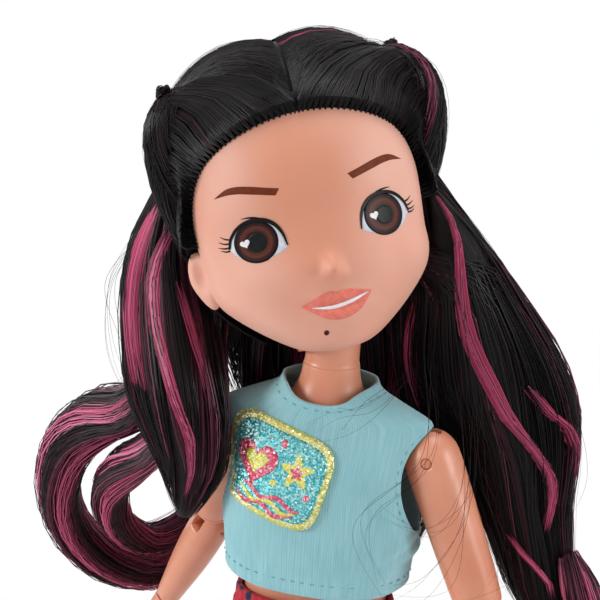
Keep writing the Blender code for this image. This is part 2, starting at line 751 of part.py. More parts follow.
def add_hair():
    cap = add_object("hair_cap", loft_mesh("hair_cap", hair_rings()), HAIR, HEAD_FRAME)
    cut(
        cap,
        cutter("scalp", loft_mesh("scalp", head_rings(GAP)), HEAD_FRAME),
        face_window(),
        cutter("ear_window", box_mesh(
            "ear_window",
            (-HAIR_CAP_WIDTH, -HAIR_CAP_DEPTH, -HAIR_CAP_DEPTH),
            (HAIR_CAP_WIDTH, NECK_SET_BACK + EAR_DEPTH * 0.6, EAR_HEIGHT / 8)), HEAD_FRAME),
    )
    hair_room = cutter("hair_room", loft_mesh("hair_room", hair_rings(GAP)), HEAD_FRAME)
    head_room = cutter("head_room", loft_mesh("head_room", head_rings(2 * GAP)), HEAD_FRAME)
    for side, word, table in ((1, "left", LEFT_ROLL_SHARES), (-1, "right", RIGHT_ROLL_SHARES)):
        rows = [
            (side * x * ROLL_REACH, y * ROLL_REACH, z * ROLL_HEIGHT, radius * ROLL_RADIUS)
            for x, y, z, radius in table
        ]
        roll = add_object(f"hair_roll_{word}", lock_mesh(f"hair_roll_{word}", rows, 2, 12), HAIR, HEAD_FRAME)
        ear_room = cutter(f"ear_room_{word}", ball_mesh(
            f"ear_room_{word}",
            (side * (HEAD_WIDTH / 2 - EAR_WIDTH / 4), NECK_SET_BACK, -EAR_HEIGHT / 2),
            (EAR_WIDTH / 2 + GAP, EAR_DEPTH / 2 + GAP, EAR_HEIGHT / 2 + GAP), 12, 10), HEAD_FRAME)
        cut(roll, hair_room, head_room, ear_room)
        add_tie(side, word, rows)
    add_falls(hair_room, head_room)


def add_tie(side, word, rows):
    # Small elastic ring round the upper end of the roll
    x, y, z, radius = rows[0]
    ahead = (Vector(rows[0][:3]) - Vector(rows[1][:3])).normalized()
    ring = ball_mesh(f"hair_tie_{word}", (0, 0, 0), (radius * 0.9, radius * 0.9, TIE_RADIUS * 1.6), 16, 8)
    tie = add_object(f"hair_tie_{word}", ring, ELASTIC, HEAD_FRAME)
    turn = ahead.to_track_quat("Z", "Y").to_matrix().to_4x4()
    lift = ahead * (TIE_RADIUS * 1.6 + GAP)
    tie.matrix_local = Matrix.Translation(Vector((x, y, z)) + lift) @ turn
    cut(tie, bpy.data.objects["hair_room"])


def hair_place(x, y, z):
    return (x * HAIR_HALF_WIDTH, y * HAIR_BACK, NECK_Z + HAIR_LENGTH / 3 - z * HAIR_LENGTH)


def add_falls(*rooms):
    for word, table in (("left", LEFT_FALL_SHARES), ("right", RIGHT_FALL_SHARES), ("back", BACK_FALL_SHARES)):
        rows = [
            (*hair_place(x, y, z), width * HAIR_HALF_WIDTH, depth * HAIR_BACK, turn)
            for x, y, z, width, depth, turn in table
        ]
        fall = add_object(f"hair_fall_{word}", fall_mesh(f"hair_fall_{word}", rows), HAIR, ROOT)
        cut(fall, *rooms)
        rooms += (cutter(f"fall_room_{word}", fall_mesh(f"fall_room_{word}", rows, GAP), ROOT),)
    curls = (
        ("left", LEFT_CURL_SHARES, PINK_HAIR),
        ("right", RIGHT_CURL_SHARES, PINK_HAIR),
        ("inner", INNER_CURL_SHARES, HAIR),
    )
    for word, table, material in curls:
        rows = [(*hair_place(x, y, z), radius * CURL_RADIUS) for x, y, z, radius in table]
        curl = add_object(f"hair_curl_{word}", lock_mesh(f"hair_curl_{word}", rows, 2, 10, 0.8), material, ROOT)
        cut(curl, *rooms)
        grown = [(x, y, z, radius + GAP) for x, y, z, radius in rows]
        rooms += (cutter(f"curl_room_{word}", lock_mesh(f"curl_room_{word}", grown, 2, 10, 0.8), ROOT),)


def arm_frames(side, word, swing, raised, swivel, bend):
    shoulder = (side * SHOULDER_X, 0, SHOULDER_Z)
    peg = add_empty(f"shoulder_frame_{word}", shoulder, Matrix.Rotation(swing, 4, "X"), ROOT)
    arm = add_empty(f"arm_frame_{word}", (0, 0, 0), Matrix.Rotation(-side * raised, 4, "Y"), peg)
    elbow = add_empty(
        f"elbow_frame_{word}", (0, 0, -UPPER_ARM_LENGTH), Matrix.Rotation(side * -swivel, 4, "Z"), arm)
    forearm = add_empty(f"forearm_frame_{word}", (0, 0, 0), Matrix.Rotation(-bend, 4, "X"), elbow)
    wrist = add_empty(f"wrist_frame_{word}", (0, 0, -FOREARM_LENGTH), None, forearm)
    return peg, arm, elbow, forearm, wrist


def round_rings(rows, count=20):
    # Level round sections: each row is a height and a radius
    return [oval((0, 0, z), radius, radius, radius, count) for z, radius in rows]


def dome_rows(radius, steps=4):
    # The upper half of a ball, from its equator to close to its pole
    rows = []
    for i in range(1, steps + 1):
        angle = math.pi / 2 * i / (steps + 0.35)
        rows.append((radius * math.sin(angle), radius * math.cos(angle)))
    return rows


def add_shoulder(side, word, peg_frame):
    flange_end = peg_flange_end() - SHOULDER_X
    neck_end = -UPPER_ARM_RADIUS - 2 * RUNNING_GAP
    peg = add_object(f"shoulder_peg_{word}", cylinder_mesh(
        f"shoulder_peg_{word}", PEG_FLANGE_RADIUS,
        (side * (flange_end - PEG_FLANGE_THICKNESS), 0, 0), (side * flange_end, 0, 0)), BODY, peg_frame)
    join(
        peg,
        cutter(f"peg_neck_{word}", cylinder_mesh(
            f"peg_neck_{word}", PEG_NECK_RADIUS,
            (side * (flange_end - PEG_FLANGE_THICKNESS / 2), 0, 0), (side * neck_end, 0, 0)), peg_frame),
        cutter(f"peg_plate_{word}", box_mesh(
            f"peg_plate_{word}",
            (min(side * (neck_end - GAP), 0), -EAR_PLATE_HALF, -PEG_NECK_RADIUS * 0.85),
            (max(side * (neck_end - GAP), 0), EAR_PLATE_HALF, PEG_NECK_RADIUS * 0.85)), peg_frame),
        cutter(f"peg_eye_{word}", cylinder_mesh(
            f"peg_eye_{word}", EAR_PLATE_RADIUS, (0, -EAR_PLATE_HALF, 0), (0, EAR_PLATE_HALF, 0)), peg_frame),
    )
    pin_hole = cutter(f"arm_pin_hole_{word}", cylinder_mesh(
        f"arm_pin_hole_{word}", ARM_PIN_RADIUS + PIN_GAP,
        (0, -UPPER_ARM_RADIUS - OVERRUN, 0), (0, UPPER_ARM_RADIUS + OVERRUN, 0), 14), peg_frame)
    cut(peg, pin_hole)
    reach = UPPER_ARM_RADIUS * 0.94
    add_object(f"shoulder_pin_{word}", cylinder_mesh(
        f"shoulder_pin_{word}", ARM_PIN_RADIUS, (0, -reach, 0), (0, reach, 0), 14), PIN, peg_frame)
    return pin_hole


def add_upper_arm(side, word, arm_frame, pin_hole):
    end = -UPPER_ARM_LENGTH + FOREARM_RADIUS + 2 * RUNNING_GAP + ELBOW_DISC_THICKNESS
    rows = [
        (end, UPPER_ARM_RADIUS * 0.80),
        (end + FOREARM_RADIUS / 5, UPPER_ARM_RADIUS * 0.86),
        (end * 0.72, UPPER_ARM_RADIUS * 0.92),
        (end * 0.40, UPPER_ARM_RADIUS * 0.97),
        (end * 0.12, UPPER_ARM_RADIUS),
        (0, UPPER_ARM_RADIUS),
    ] + dome_rows(UPPER_ARM_RADIUS)
    arm = add_object(f"upper_arm_{word}", loft_mesh(f"upper_arm_{word}", round_rings(rows)), BODY, arm_frame)
    half = EAR_PLATE_HALF + RUNNING_GAP
    inner = -side * UPPER_ARM_RADIUS * 1.5
    outer = side * (EAR_PLATE_RADIUS + RUNNING_GAP)
    cut(
        arm,
        cutter(f"arm_slot_{word}", box_mesh(
            f"arm_slot_{word}",
            (min(inner, outer), -half, -EAR_PLATE_RADIUS - RUNNING_GAP),
            (max(inner, outer), half, UPPER_ARM_RADIUS + OVERRUN)), arm_frame),
        pin_hole,
        cutter(f"elbow_bore_{word}", cylinder_mesh(
            f"elbow_bore_{word}", ELBOW_STEM_RADIUS + RUNNING_GAP,
            (0, 0, end - OVERRUN), (0, 0, end + ELBOW_STEM_LENGTH + RUNNING_GAP), 16), arm_frame),
    )
    return end


def add_elbow(side, word, elbow_frame, end):
    # Swivelling elbow peg: a stem in the upper arm, a disc and a plate that carries the hinge pin
    disc_top = end + UPPER_ARM_LENGTH - RUNNING_GAP
    disc_low = disc_top - ELBOW_DISC_THICKNESS
    peg = add_object(f"elbow_peg_{word}", cylinder_mesh(
        f"elbow_peg_{word}", UPPER_ARM_RADIUS * 0.78, (0, 0, disc_low), (0, 0, disc_top)), BODY, elbow_frame)
    plate_width = ELBOW_PLATE_RADIUS * 0.95
    join(
        peg,
        cutter(f"elbow_stem_{word}", cylinder_mesh(
            f"elbow_stem_{word}", ELBOW_STEM_RADIUS,
            (0, 0, disc_low + GAP), (0, 0, disc_top + ELBOW_STEM_LENGTH), 16), elbow_frame),
        cutter(f"elbow_plate_{word}", box_mesh(
            f"elbow_plate_{word}",
            (-EAR_PLATE_HALF, -plate_width, 0), (EAR_PLATE_HALF, plate_width, disc_low + GAP)), elbow_frame),
        cutter(f"elbow_eye_{word}", cylinder_mesh(
            f"elbow_eye_{word}", ELBOW_PLATE_RADIUS,
            (-EAR_PLATE_HALF, 0, 0), (EAR_PLATE_HALF, 0, 0), 16), elbow_frame),
    )
    hole = cutter(f"elbow_pin_hole_{word}", cylinder_mesh(
        f"elbow_pin_hole_{word}", ELBOW_PIN_RADIUS + PIN_GAP,
        (-FOREARM_RADIUS - OVERRUN, 0, 0), (FOREARM_RADIUS + OVERRUN, 0, 0), 12), elbow_frame)
    cut(peg, hole)
    reach = FOREARM_RADIUS * 0.92
    add_object(f"elbow_pin_{word}", cylinder_mesh(
        f"elbow_pin_{word}", ELBOW_PIN_RADIUS, (-reach, 0, 0), (reach, 0, 0), 12), PIN, elbow_frame)
    return hole


def add_forearm(word, forearm_frame, hole):
    end = -FOREARM_LENGTH + RUNNING_GAP
    rows = [
        (end, WRIST_RADIUS),
        (end * 0.80, WRIST_RADIUS * 1.20),
        (end * 0.50, FOREARM_RADIUS * 0.96),
        (end * 0.22, FOREARM_RADIUS * 1.03),
        (0, FOREARM_RADIUS),
    ] + dome_rows(FOREARM_RADIUS)
    arm = add_object(f"forearm_{word}", loft_mesh(f"forearm_{word}", round_rings(rows, 18)), BODY, forearm_frame)
    half = EAR_PLATE_HALF + RUNNING_GAP
    low = -ELBOW_PLATE_RADIUS - RUNNING_GAP
    cut(
        arm,
        cutter(f"forearm_slot_{word}", box_mesh(
            f"forearm_slot_{word}",
            (-half, -FOREARM_RADIUS - OVERRUN, low),
            (half, ELBOW_PLATE_RADIUS + RUNNING_GAP, FOREARM_RADIUS + OVERRUN)), forearm_frame),
        hole,
        cutter(f"wrist_bore_{word}", cylinder_mesh(
            f"wrist_bore_{word}", WRIST_STEM_RADIUS + RUNNING_GAP,
            (0, 0, end - OVERRUN), (0, 0, end + WRIST_STEM_LENGTH + RUNNING_GAP), 12), forearm_frame),
    )


def add_hand(side, word, wrist_frame):
    palm_end = -HAND_LENGTH * 0.52
    flat = WRIST_RADIUS * 0.62
    rows = (
        (palm_end, 1.35, 0.50),
        (palm_end * 0.75, 1.50, 0.66),
        (palm_end * 0.40, 1.28, 0.80),
        (palm_end * 0.12, 1.00, 0.95),
        (-RUNNING_GAP, 0.98, 0.98),
    )
    rings = [
        oval((0, 0, z), depth * WRIST_RADIUS, width * WRIST_RADIUS, width * WRIST_RADIUS, 14)
        for z, width, depth in rows
    ]
    hand = add_object(f"hand_{word}", loft_mesh(f"hand_{word}", rings), BODY, wrist_frame)
    join(hand, cutter(f"wrist_stem_{word}", cylinder_mesh(
        f"wrist_stem_{word}", WRIST_STEM_RADIUS, (0, 0, palm_end / 2), (0, 0, WRIST_STEM_LENGTH), 12), wrist_frame))
    finger_shares = ((-0.98, 0.86), (-0.35, 1.00), (0.28, 0.95), (0.88, 0.78))
    for i, (across, reach) in enumerate(finger_shares):
        start = (0, across * WRIST_RADIUS, palm_end * 0.8)
        tip = (-side * flat * 0.4, across * WRIST_RADIUS * 1.1, -HAND_LENGTH * reach)
        join(hand, cutter(f"finger_{word}_{i}", cylinder_mesh(
            f"finger_{word}_{i}", FINGER_RADIUS, start, tip, 8, FINGER_RADIUS * 0.75), wrist_frame))
    thumb_start = (0, -WRIST_RADIUS * 0.8, palm_end * 0.3)
    thumb_tip = (-side * flat, -WRIST_RADIUS * 2.0, palm_end * 1.05)
    join(hand, cutter(f"thumb_{word}", cylinder_mesh(
        f"thumb_{word}", FINGER_RADIUS * 1.1, thumb_start, thumb_tip, 8, FINGER_RADIUS * 0.8), wrist_frame))


def add_arms():
    poses = (
        (1, "left", LEFT_SWING, LEFT_RAISE, LEFT_SWIVEL, LEFT_BEND),
        (-1, "right", RIGHT_SWING, RIGHT_RAISE, RIGHT_SWIVEL, RIGHT_BEND),
    )
    for side, word, *angles in poses:
        peg_frame, arm_frame, elbow_frame, forearm_frame, wrist_frame = arm_frames(side, word, *angles)
        pin_hole = add_shoulder(side, word, peg_frame)
        end = add_upper_arm(side, word, arm_frame, pin_hole)
        hole = add_elbow(side, word, elbow_frame, end)
        add_forearm(word, forearm_frame, hole)
        add_hand(side, word, wrist_frame)


def add_legs():
    axle_reach = HIP_X + THIGH_RADIUS * 0.35
    add_object("hip_axle", cylinder_mesh(
        "hip_axle", HIP_AXLE_RADIUS, (-axle_reach, 0, HIP_Z), (axle_reach, 0, HIP_Z), 16), PIN, ROOT)
    for side, word in ((1, "left"), (-1, "right")):
        hip = add_empty(f"hip_frame_{word}", (side * HIP_X, 0, HIP_Z), None, ROOT)
        add_thigh(side, word, hip, axle_reach)
        knee = add_empty(f"knee_frame_{word}", (0, 0, -THIGH_LENGTH), None, hip)
        add_shin(word, knee)
        ankle = add_empty(f"ankle_frame_{word}", (0, 0, -SHIN_LENGTH), None, knee)
        add_shoe(word, ankle)


def add_thigh(side, word, hip, axle_reach):
    knee_end = -THIGH_LENGTH
    rows = [(knee_end - height, radius) for height, radius in reversed(dome_rows(KNEE_RADIUS, 3))]
    rows += [
        (knee_end, KNEE_RADIUS),
        (knee_end * 0.85, KNEE_RADIUS),
        (knee_end * 0.62, KNEE_RADIUS * 1.13),
        (knee_end * 0.35, THIGH_RADIUS * 0.93),
        (knee_end * 0.12, THIGH_RADIUS),
        (0, THIGH_RADIUS),
    ] + dome_rows(THIGH_RADIUS)
    thigh = add_object(f"thigh_{word}", loft_mesh(f"thigh_{word}", round_rings(rows, 22)), BODY, hip)
    half = KNEE_PLATE_HALF + RUNNING_GAP
    plate = KNEE_PLATE_RADIUS + RUNNING_GAP
    inner = -side * HIP_X
    bore_end = side * (axle_reach - HIP_X + PIN_GAP)
    cut(
        thigh,
        cutter(f"thigh_axle_hole_{word}", cylinder_mesh(
            f"thigh_axle_hole_{word}", HIP_AXLE_RADIUS + PIN_GAP, (inner, 0, 0), (bore_end, 0, 0), 16), hip),
        cutter(f"knee_slot_{word}", box_mesh(
            f"knee_slot_{word}",
            (-half, -plate, knee_end - KNEE_RADIUS - OVERRUN),
            (half, KNEE_RADIUS + OVERRUN, knee_end + plate)), hip),
        cutter(f"knee_pin_hole_{word}", cylinder_mesh(
            f"knee_pin_hole_{word}", KNEE_PIN_RADIUS + PIN_GAP,
            (-KNEE_RADIUS - OVERRUN, 0, knee_end), (KNEE_RADIUS + OVERRUN, 0, knee_end), 14), hip),
    )


def add_shin(word, knee):
    top = -KNEE_RADIUS - 2 * RUNNING_GAP
    rows = [
        (-SHIN_LENGTH - FOOT_HEIGHT * 0.55, ANKLE_RADIUS * 0.95),
        (-SHIN_LENGTH, ANKLE_RADIUS),
        (-SHIN_LENGTH * 0.85, ANKLE_RADIUS * 1.02),
        (-SHIN_LENGTH * 0.62, CALF_RADIUS * 0.84),
        (-SHIN_LENGTH * 0.38, CALF_RADIUS),
        (top * 1.9, CALF_RADIUS * 0.97),
        (top, KNEE_RADIUS * 0.92),
    ]
    shin = add_object(f"shin_{word}", loft_mesh(f"shin_{word}", round_rings(rows)), BODY, knee)
    width = KNEE_PLATE_RADIUS * 0.9
    hole = cutter(f"shin_pin_hole_{word}", cylinder_mesh(
        f"shin_pin_hole_{word}", KNEE_PIN_RADIUS + PIN_GAP,
        (-KNEE_RADIUS - OVERRUN, 0, 0), (KNEE_RADIUS + OVERRUN, 0, 0), 14), knee)
    join(
        shin,
        cutter(f"knee_plate_{word}", box_mesh(
            f"knee_plate_{word}",
            (-KNEE_PLATE_HALF, -width, top * 1.4), (KNEE_PLATE_HALF, width, 0)), knee),
        cutter(f"knee_eye_{word}", cylinder_mesh(
            f"knee_eye_{word}", KNEE_PLATE_RADIUS,
            (-KNEE_PLATE_HALF, 0, 0), (KNEE_PLATE_HALF, 0, 0), 20), knee),
        cutter(f"foot_{word}", foot_mesh(f"foot_{word}", 0.0), knee),
    )
    cut(shin, hole)
    reach = KNEE_RADIUS * 0.9
    add_object(f"knee_pin_{word}", cylinder_mesh(
        f"knee_pin_{word}", KNEE_PIN_RADIUS, (-reach, 0, 0), (reach, 0, 0), 14), PIN, knee)


# Foot sections from heel to toe: share of the length, half width, top and bottom height shares
FOOT_SHARES = (
    (0.00, 0.45, 0.50, 0.10),
    (0.06, 0.72, 0.66, 0.02),
    (0.25, 0.80, 0.72, 0.00),
    (0.45, 0.86, 0.62, 0.00),
    (0.65, 0.98, 0.44, 0.00),
    (0.82, 1.00, 0.33, 0.00),
    (0.94, 0.80, 0.26, 0.02),
    (1.00, 0.42, 0.20, 0.06),
)


def foot_rings(grow, base, count=16):
    # Upright sections from heel to toe, seated on the given height
    rings = []
    for along, width, top, low in FOOT_SHARES:
        y = FOOT_BEHIND - along * FOOT_LENGTH
        y += grow * (1 - 2 * along)
        bottom = base + low * FOOT_HEIGHT / 2 - grow
        middle = (bottom + base + top * FOOT_HEIGHT + grow) / 2
        half_height = (base + top * FOOT_HEIGHT + grow - bottom) / 2
        ring = oval((0, 0, 0), width * FOOT_WIDTH / 2 + grow, half_height, half_height, count, 2.6)
        rings.append([Vector((point.x, y, middle + point.y)) for point in ring])
    return rings


def foot_mesh(name, grow):
    return loft_mesh(name, foot_rings(grow, -SHIN_LENGTH - FOOT_HEIGHT + GAP + SHOE_WALL / 2))


def add_shoe(word, ankle):
    base = -FOOT_HEIGHT
    floor = base - SOLE_THICKNESS
    shoe_rings = foot_rings(SHOE_WALL + GAP, base + SHOE_WALL)
    shoe = add_object(f"shoe_{word}", loft_mesh(f"shoe_{word}", shoe_rings), CANVAS, ankle)
    collar = ANKLE_RADIUS + SHOE_WALL + GAP
    shell_end = base + SHOE_HEIGHT + SHOE_WALL
    join(shoe, cutter(f"shoe_collar_{word}", cylinder_mesh(
        f"shoe_collar_{word}", collar * 1.12, (0, 0, base + SHOE_HEIGHT / 3), (0, 0, shell_end), 20, collar), ankle))
    lift = Matrix.Translation((0, 0, SHIN_LENGTH))
    foot_room = foot_mesh(f"foot_room_{word}", GAP)
    foot_room.transform(lift)
    cut(
        shoe,
        cutter(f"foot_room_{word}", foot_room, ankle),
        cutter(f"ankle_room_{word}", cylinder_mesh(
            f"ankle_room_{word}", ANKLE_RADIUS + 1.5 * GAP,
            (0, 0, base + SHOE_HEIGHT / 3), (0, 0, shell_end + OVERRUN), 20, ANKLE_RADIUS * 1.1 + GAP), ankle),
        cutter(f"sole_room_{word}", box_mesh(
            f"sole_room_{word}",
            (-FOOT_WIDTH, -FOOT_LENGTH - OVERRUN, floor - OVERRUN),
            (FOOT_WIDTH, FOOT_LENGTH, base + GAP / 2)), ankle),
    )
    rings = []
    for height, spread in ((floor, 0), (floor + SOLE_THICKNESS * 0.2, SOLE_RIM), (base - GAP / 2, SOLE_RIM)):
        ring = []
        grown = foot_rings(SHOE_WALL + GAP + spread, 0.0, 16)
        left = [max(row, key=lambda point: point.x) for row in grown]
        right = [min(row, key=lambda point: point.x) for row in grown]
        for point in left + right[::-1]:
            ring.append(Vector((point.x, point.y, height)))
        rings.append(ring)
    add_object(f"shoe_sole_{word}", loft_mesh(f"shoe_sole_{word}", rings), RUBBER, ankle)


# Crop top: share of the way from hem to collar, then half width, front and back shares
TOP_SHARES = (
    (0.00, 0.93, 0.96, 0.92),
    (0.20, 0.97, 1.02, 0.94),
    (0.38, 1.00, 1.05, 0.96),
    (0.56, 1.00, 1.02, 0.95),
    (0.70, 1.05, 0.90, 0.89),
    (0.80, 1.13, 0.76, 0.80),
    (0.87, 1.13, 0.64, 0.70),
)
# Over the shoulders to the collar: share of the way, and the share left between tip and collar
YOKE_SHARES = ((0.90, 0.80), (0.94, 0.48), (0.975, 0.18), (1.00, 0.00))


def top_rings(grow=0.0, count=32):
    collar_z = NECK_Z - NECK_RISE * 0.42
    span = collar_z - TOP_HEM_Z
    rings = []
    for share, width, front, back in TOP_SHARES:
        rings.append(oval(
            (0, 0, TOP_HEM_Z + share * span),
            width * TOP_WIDTH / 2 + grow,
            front * TOP_DEPTH / 2 + grow,
            back * TOP_DEPTH / 2 + grow,
            count,
            2.2,
        ))
    tip = TOP_SHARES[-1]
    for share, left in YOKE_SHARES:
        half_width = COLLAR_HALF_WIDTH + left * (tip[1] * TOP_WIDTH / 2 - COLLAR_HALF_WIDTH)
        front = COLLAR_HALF_WIDTH * 0.92 + left * (tip[2] * TOP_DEPTH / 2 - COLLAR_HALF_WIDTH * 0.92)
        back = COLLAR_HALF_WIDTH * 0.86 + left * (tip[3] * TOP_DEPTH / 2 - COLLAR_HALF_WIDTH * 0.86)
        rings.append(oval(
            (0, 0, TOP_HEM_Z + share * span + grow * 0.8), half_width + grow, front + grow, back + grow, count))
    return rings


def stretch_ends(rings, reach):
    # Carries the first and last section past the piece, for a cut right through
    low = [point - Vector((0, 0, reach)) for point in rings[0]]
    high = [point + Vector((0, 0, reach)) for point in rings[-1]]
    return [low] + rings + [high]


def add_top():
    body_room = cutter("top_inside", loft_mesh("top_inside", stretch_ends(top_rings(-CLOTH), OVERRUN)), ROOT)
    chest_room = cutter("chest_room", loft_mesh("chest_room", torso_rings(RUNNING_GAP)), ROOT)
    armholes = []
    for side, word in ((1, "left"), (-1, "right")):
        inner = side * CHEST_WIDTH * 0.42
        bm = bmesh.new()
        bmesh.ops.create_cone(bm, cap_ends=True, segments=28, radius1=1.0, radius2=1.0, depth=1.0)
        turn = Matrix.Rotation(math.pi / 2, 4, "Y")
        size = Matrix.Diagonal((CHEST_WIDTH, ARMHOLE_HALF_DEPTH, ARMHOLE_HALF_HEIGHT, 1))
        middle = SHOULDER_Z + UPPER_ARM_RADIUS - ARMHOLE_HALF_HEIGHT + RUNNING_GAP
        place = Matrix.Translation((inner + side * CHEST_WIDTH / 2, 0, middle))
        bm.transform(place @ size @ turn)
        armholes.append(cutter(f"armhole_{word}", finish_mesh(f"armhole_{word}", bm), ROOT))
        room = UPPER_ARM_RADIUS + 1.5 * RUNNING_GAP
        armholes.append(cutter(f"shoulder_room_{word}", ball_mesh(
            f"shoulder_room_{word}", (side * SHOULDER_X, 0, SHOULDER_Z), [room] * 3, 24, 16), ROOT))
    neckline = cutter("neckline_dip", cylinder_mesh(
        "neckline_dip", COLLAR_HALF_WIDTH * 0.9,
        (0, -TOP_DEPTH, NECK_Z - NECK_RISE * 0.08), (0, 0, NECK_Z - NECK_RISE * 0.08), 28), ROOT)
    collar_z = NECK_Z
    panels = (
        ("top_front", (-TOP_WIDTH, -TOP_DEPTH), (TOP_WIDTH, -GAP / 2)),
        ("top_back_left", (GAP / 2, GAP / 2), (TOP_WIDTH, TOP_DEPTH)),
        ("top_back_right", (-TOP_WIDTH, GAP / 2), (-GAP / 2, TOP_DEPTH)),
    )
    for name, low, high in panels:
        part = cutter(f"{name}_part", box_mesh(
            f"{name}_part", (*low, TOP_HEM_Z - OVERRUN), (*high, collar_z + OVERRUN)), ROOT)
        panel = add_object(name, loft_mesh(name, top_rings()), JERSEY, ROOT)
        cut(panel, body_room, chest_room, *armholes, neckline)
        keep(panel, part)
    add_strips(collar_z)
    add_badge()


def add_strips(collar_z):
    # Hook-and-loop strips behind the closed edges of the back panels
    low = TOP_HEM_Z + CLOTH
    high = SHOULDER_Z - NECK_RISE / 4
    layers = (("top_loop_strip", CLOTH + GAP), ("top_hook_strip", CLOTH + 2 * GAP + STRIP_THICKNESS))
    for name, inset in layers:
        outer = cutter(f"{name}_outside", loft_mesh(f"{name}_outside", top_rings(-inset)), ROOT)
        inner = cutter(f"{name}_inside", loft_mesh(
            f"{name}_inside", stretch_ends(top_rings(-inset - STRIP_THICKNESS), OVERRUN)), ROOT)
        strip = add_object(name, box_mesh(
            name, (-STRIP_WIDTH / 2, TOP_DEPTH / 5, low), (STRIP_WIDTH / 2, TOP_DEPTH, high)), FASTENER, ROOT)
        keep(strip, outer)
        cut(strip, inner)


def add_badge():
    bm = bmesh.new()
    corners = []
    for sx, sz, start in ((1, 1, 0), (-1, 1, 90), (-1, -1, 180), (1, -1, 270)):
        for k in range(4):
            angle = math.radians(start + 30 * k)
            x = sx * (BADGE_WIDTH / 2 - BADGE_CORNER) + BADGE_CORNER * math.cos(angle)
            z = sz * (BADGE_HEIGHT / 2 - BADGE_CORNER) + BADGE_CORNER * math.sin(angle)
            corners.append((x, z))
    place = Matrix.Translation((BADGE_X, 0, SHOULDER_Z - BADGE_BELOW_SHOULDER))
    turn = Matrix.Rotation(BADGE_TILT, 4, "Y")
    rings = [[place @ turn @ Vector((x, y, z)) for x, z in corners] for y in (-TOP_DEPTH, -TOP_DEPTH / 8)]
    bm.free()
    badge = add_object("chest_badge", loft_mesh("chest_badge", rings), BADGE, ROOT)
    keep(badge, cutter("badge_outside", loft_mesh("badge_outside", top_rings(GAP + BADGE_THICKNESS)), ROOT))
    cut(badge, cutter("badge_inside", loft_mesh("badge_inside", top_rings(GAP)), ROOT))


def add_shorts():
    waist_z = HIP_Z + WAIST_RISE
    band_low = waist_z - WAISTBAND_HEIGHT
    inner = cutter("shorts_inside", loft_mesh("shorts_inside", torso_rings(SHORTS_EASE, 0, 10, 28)), ROOT)
    band = add_object("shorts_waistband", loft_mesh(
        "shorts_waistband", torso_rings(SHORTS_EASE + CLOTH * 1.4, 2, 10)), COTTON, ROOT)
    keep(band, cutter("band_part", box_mesh(
        "band_part", (-CHEST_WIDTH, -CHEST_WIDTH, band_low + GAP), (CHEST_WIDTH, CHEST_WIDTH, waist_z)), ROOT))
    cut(band, inner)
    leg_end = HIP_Z - SHORTS_LEG_LENGTH
    room = THIGH_RADIUS + SHORTS_EASE
    for side, word in ((1, "left"), (-1, "right")):
        outside = add_object(f"shorts_{word}", loft_mesh(
            f"shorts_{word}", torso_rings(SHORTS_EASE + CLOTH, 1, 10)), COTTON, ROOT)
        centre = (side * HIP_X, 0)
        leg_rows = [
            (leg_end, room + CLOTH + SHORTS_FLARE),
            (HIP_Z - SHORTS_LEG_LENGTH / 2, room + CLOTH + SHORTS_FLARE / 2),
            (HIP_Z, room + CLOTH),
            (HIP_Z + THIGH_RADIUS / 2, (room + CLOTH) * 0.86),
        ]
        leg_rings = [oval((*centre, z), radius, radius, radius, 24) for z, radius in leg_rows]
        join(outside, cutter(f"shorts_leg_{word}", loft_mesh(f"shorts_leg_{word}", leg_rings), ROOT))
        hollow_rows = [
            (leg_end - OVERRUN, room + SHORTS_FLARE),
            (HIP_Z - SHORTS_LEG_LENGTH / 2, room + SHORTS_FLARE / 2),
            (HIP_Z, room),
        ] + [(HIP_Z + height, radius) for height, radius in dome_rows(room)]
        hollow = [oval((*centre, z), radius, radius, radius, 24) for z, radius in hollow_rows]
        part = cutter(f"shorts_{word}_part", box_mesh(
            f"shorts_{word}_part",
            (min(side * GAP / 2, side * CHEST_WIDTH), -CHEST_WIDTH, leg_end - OVERRUN),
            (max(side * GAP / 2, side * CHEST_WIDTH), CHEST_WIDTH, band_low)), ROOT)
        cut(outside, inner, cutter(f"shorts_hollow_{word}", loft_mesh(f"shorts_hollow_{word}", hollow), ROOT))
        keep(outside, part)


add_torso()
add_neck_joint()
add_head()
add_hair()
add_arms()
add_legs()
add_top()
add_shorts()
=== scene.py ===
# Fashion doll: soft vinyl head with rooted hair, jointed plastic body, jersey top, shorts and sneakers.
import functools
import random
from math import asin, atan2, copysign, cos, exp, hypot, pi, radians, sin, sqrt

import bmesh
import bpy
import numpy
from mathutils import Matrix, Vector, noise
from mathutils.bvhtree import BVHTree


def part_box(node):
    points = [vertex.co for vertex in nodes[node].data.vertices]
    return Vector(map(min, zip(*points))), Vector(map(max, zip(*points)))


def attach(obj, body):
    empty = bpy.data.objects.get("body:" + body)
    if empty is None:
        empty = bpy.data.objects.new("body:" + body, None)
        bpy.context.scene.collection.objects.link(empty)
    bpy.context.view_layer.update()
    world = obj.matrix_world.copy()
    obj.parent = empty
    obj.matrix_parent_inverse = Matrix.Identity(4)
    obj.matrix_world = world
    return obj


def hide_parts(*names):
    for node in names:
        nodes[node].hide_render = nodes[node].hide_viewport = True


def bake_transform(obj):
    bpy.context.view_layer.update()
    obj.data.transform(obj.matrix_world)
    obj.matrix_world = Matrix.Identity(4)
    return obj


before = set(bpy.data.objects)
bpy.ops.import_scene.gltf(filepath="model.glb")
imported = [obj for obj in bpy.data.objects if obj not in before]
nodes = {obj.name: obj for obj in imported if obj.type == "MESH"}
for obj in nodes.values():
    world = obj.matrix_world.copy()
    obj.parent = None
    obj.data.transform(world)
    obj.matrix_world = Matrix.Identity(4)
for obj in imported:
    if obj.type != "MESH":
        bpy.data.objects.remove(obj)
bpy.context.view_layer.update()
mm = 0.001
toMetres = Matrix.Scale(mm, 4)
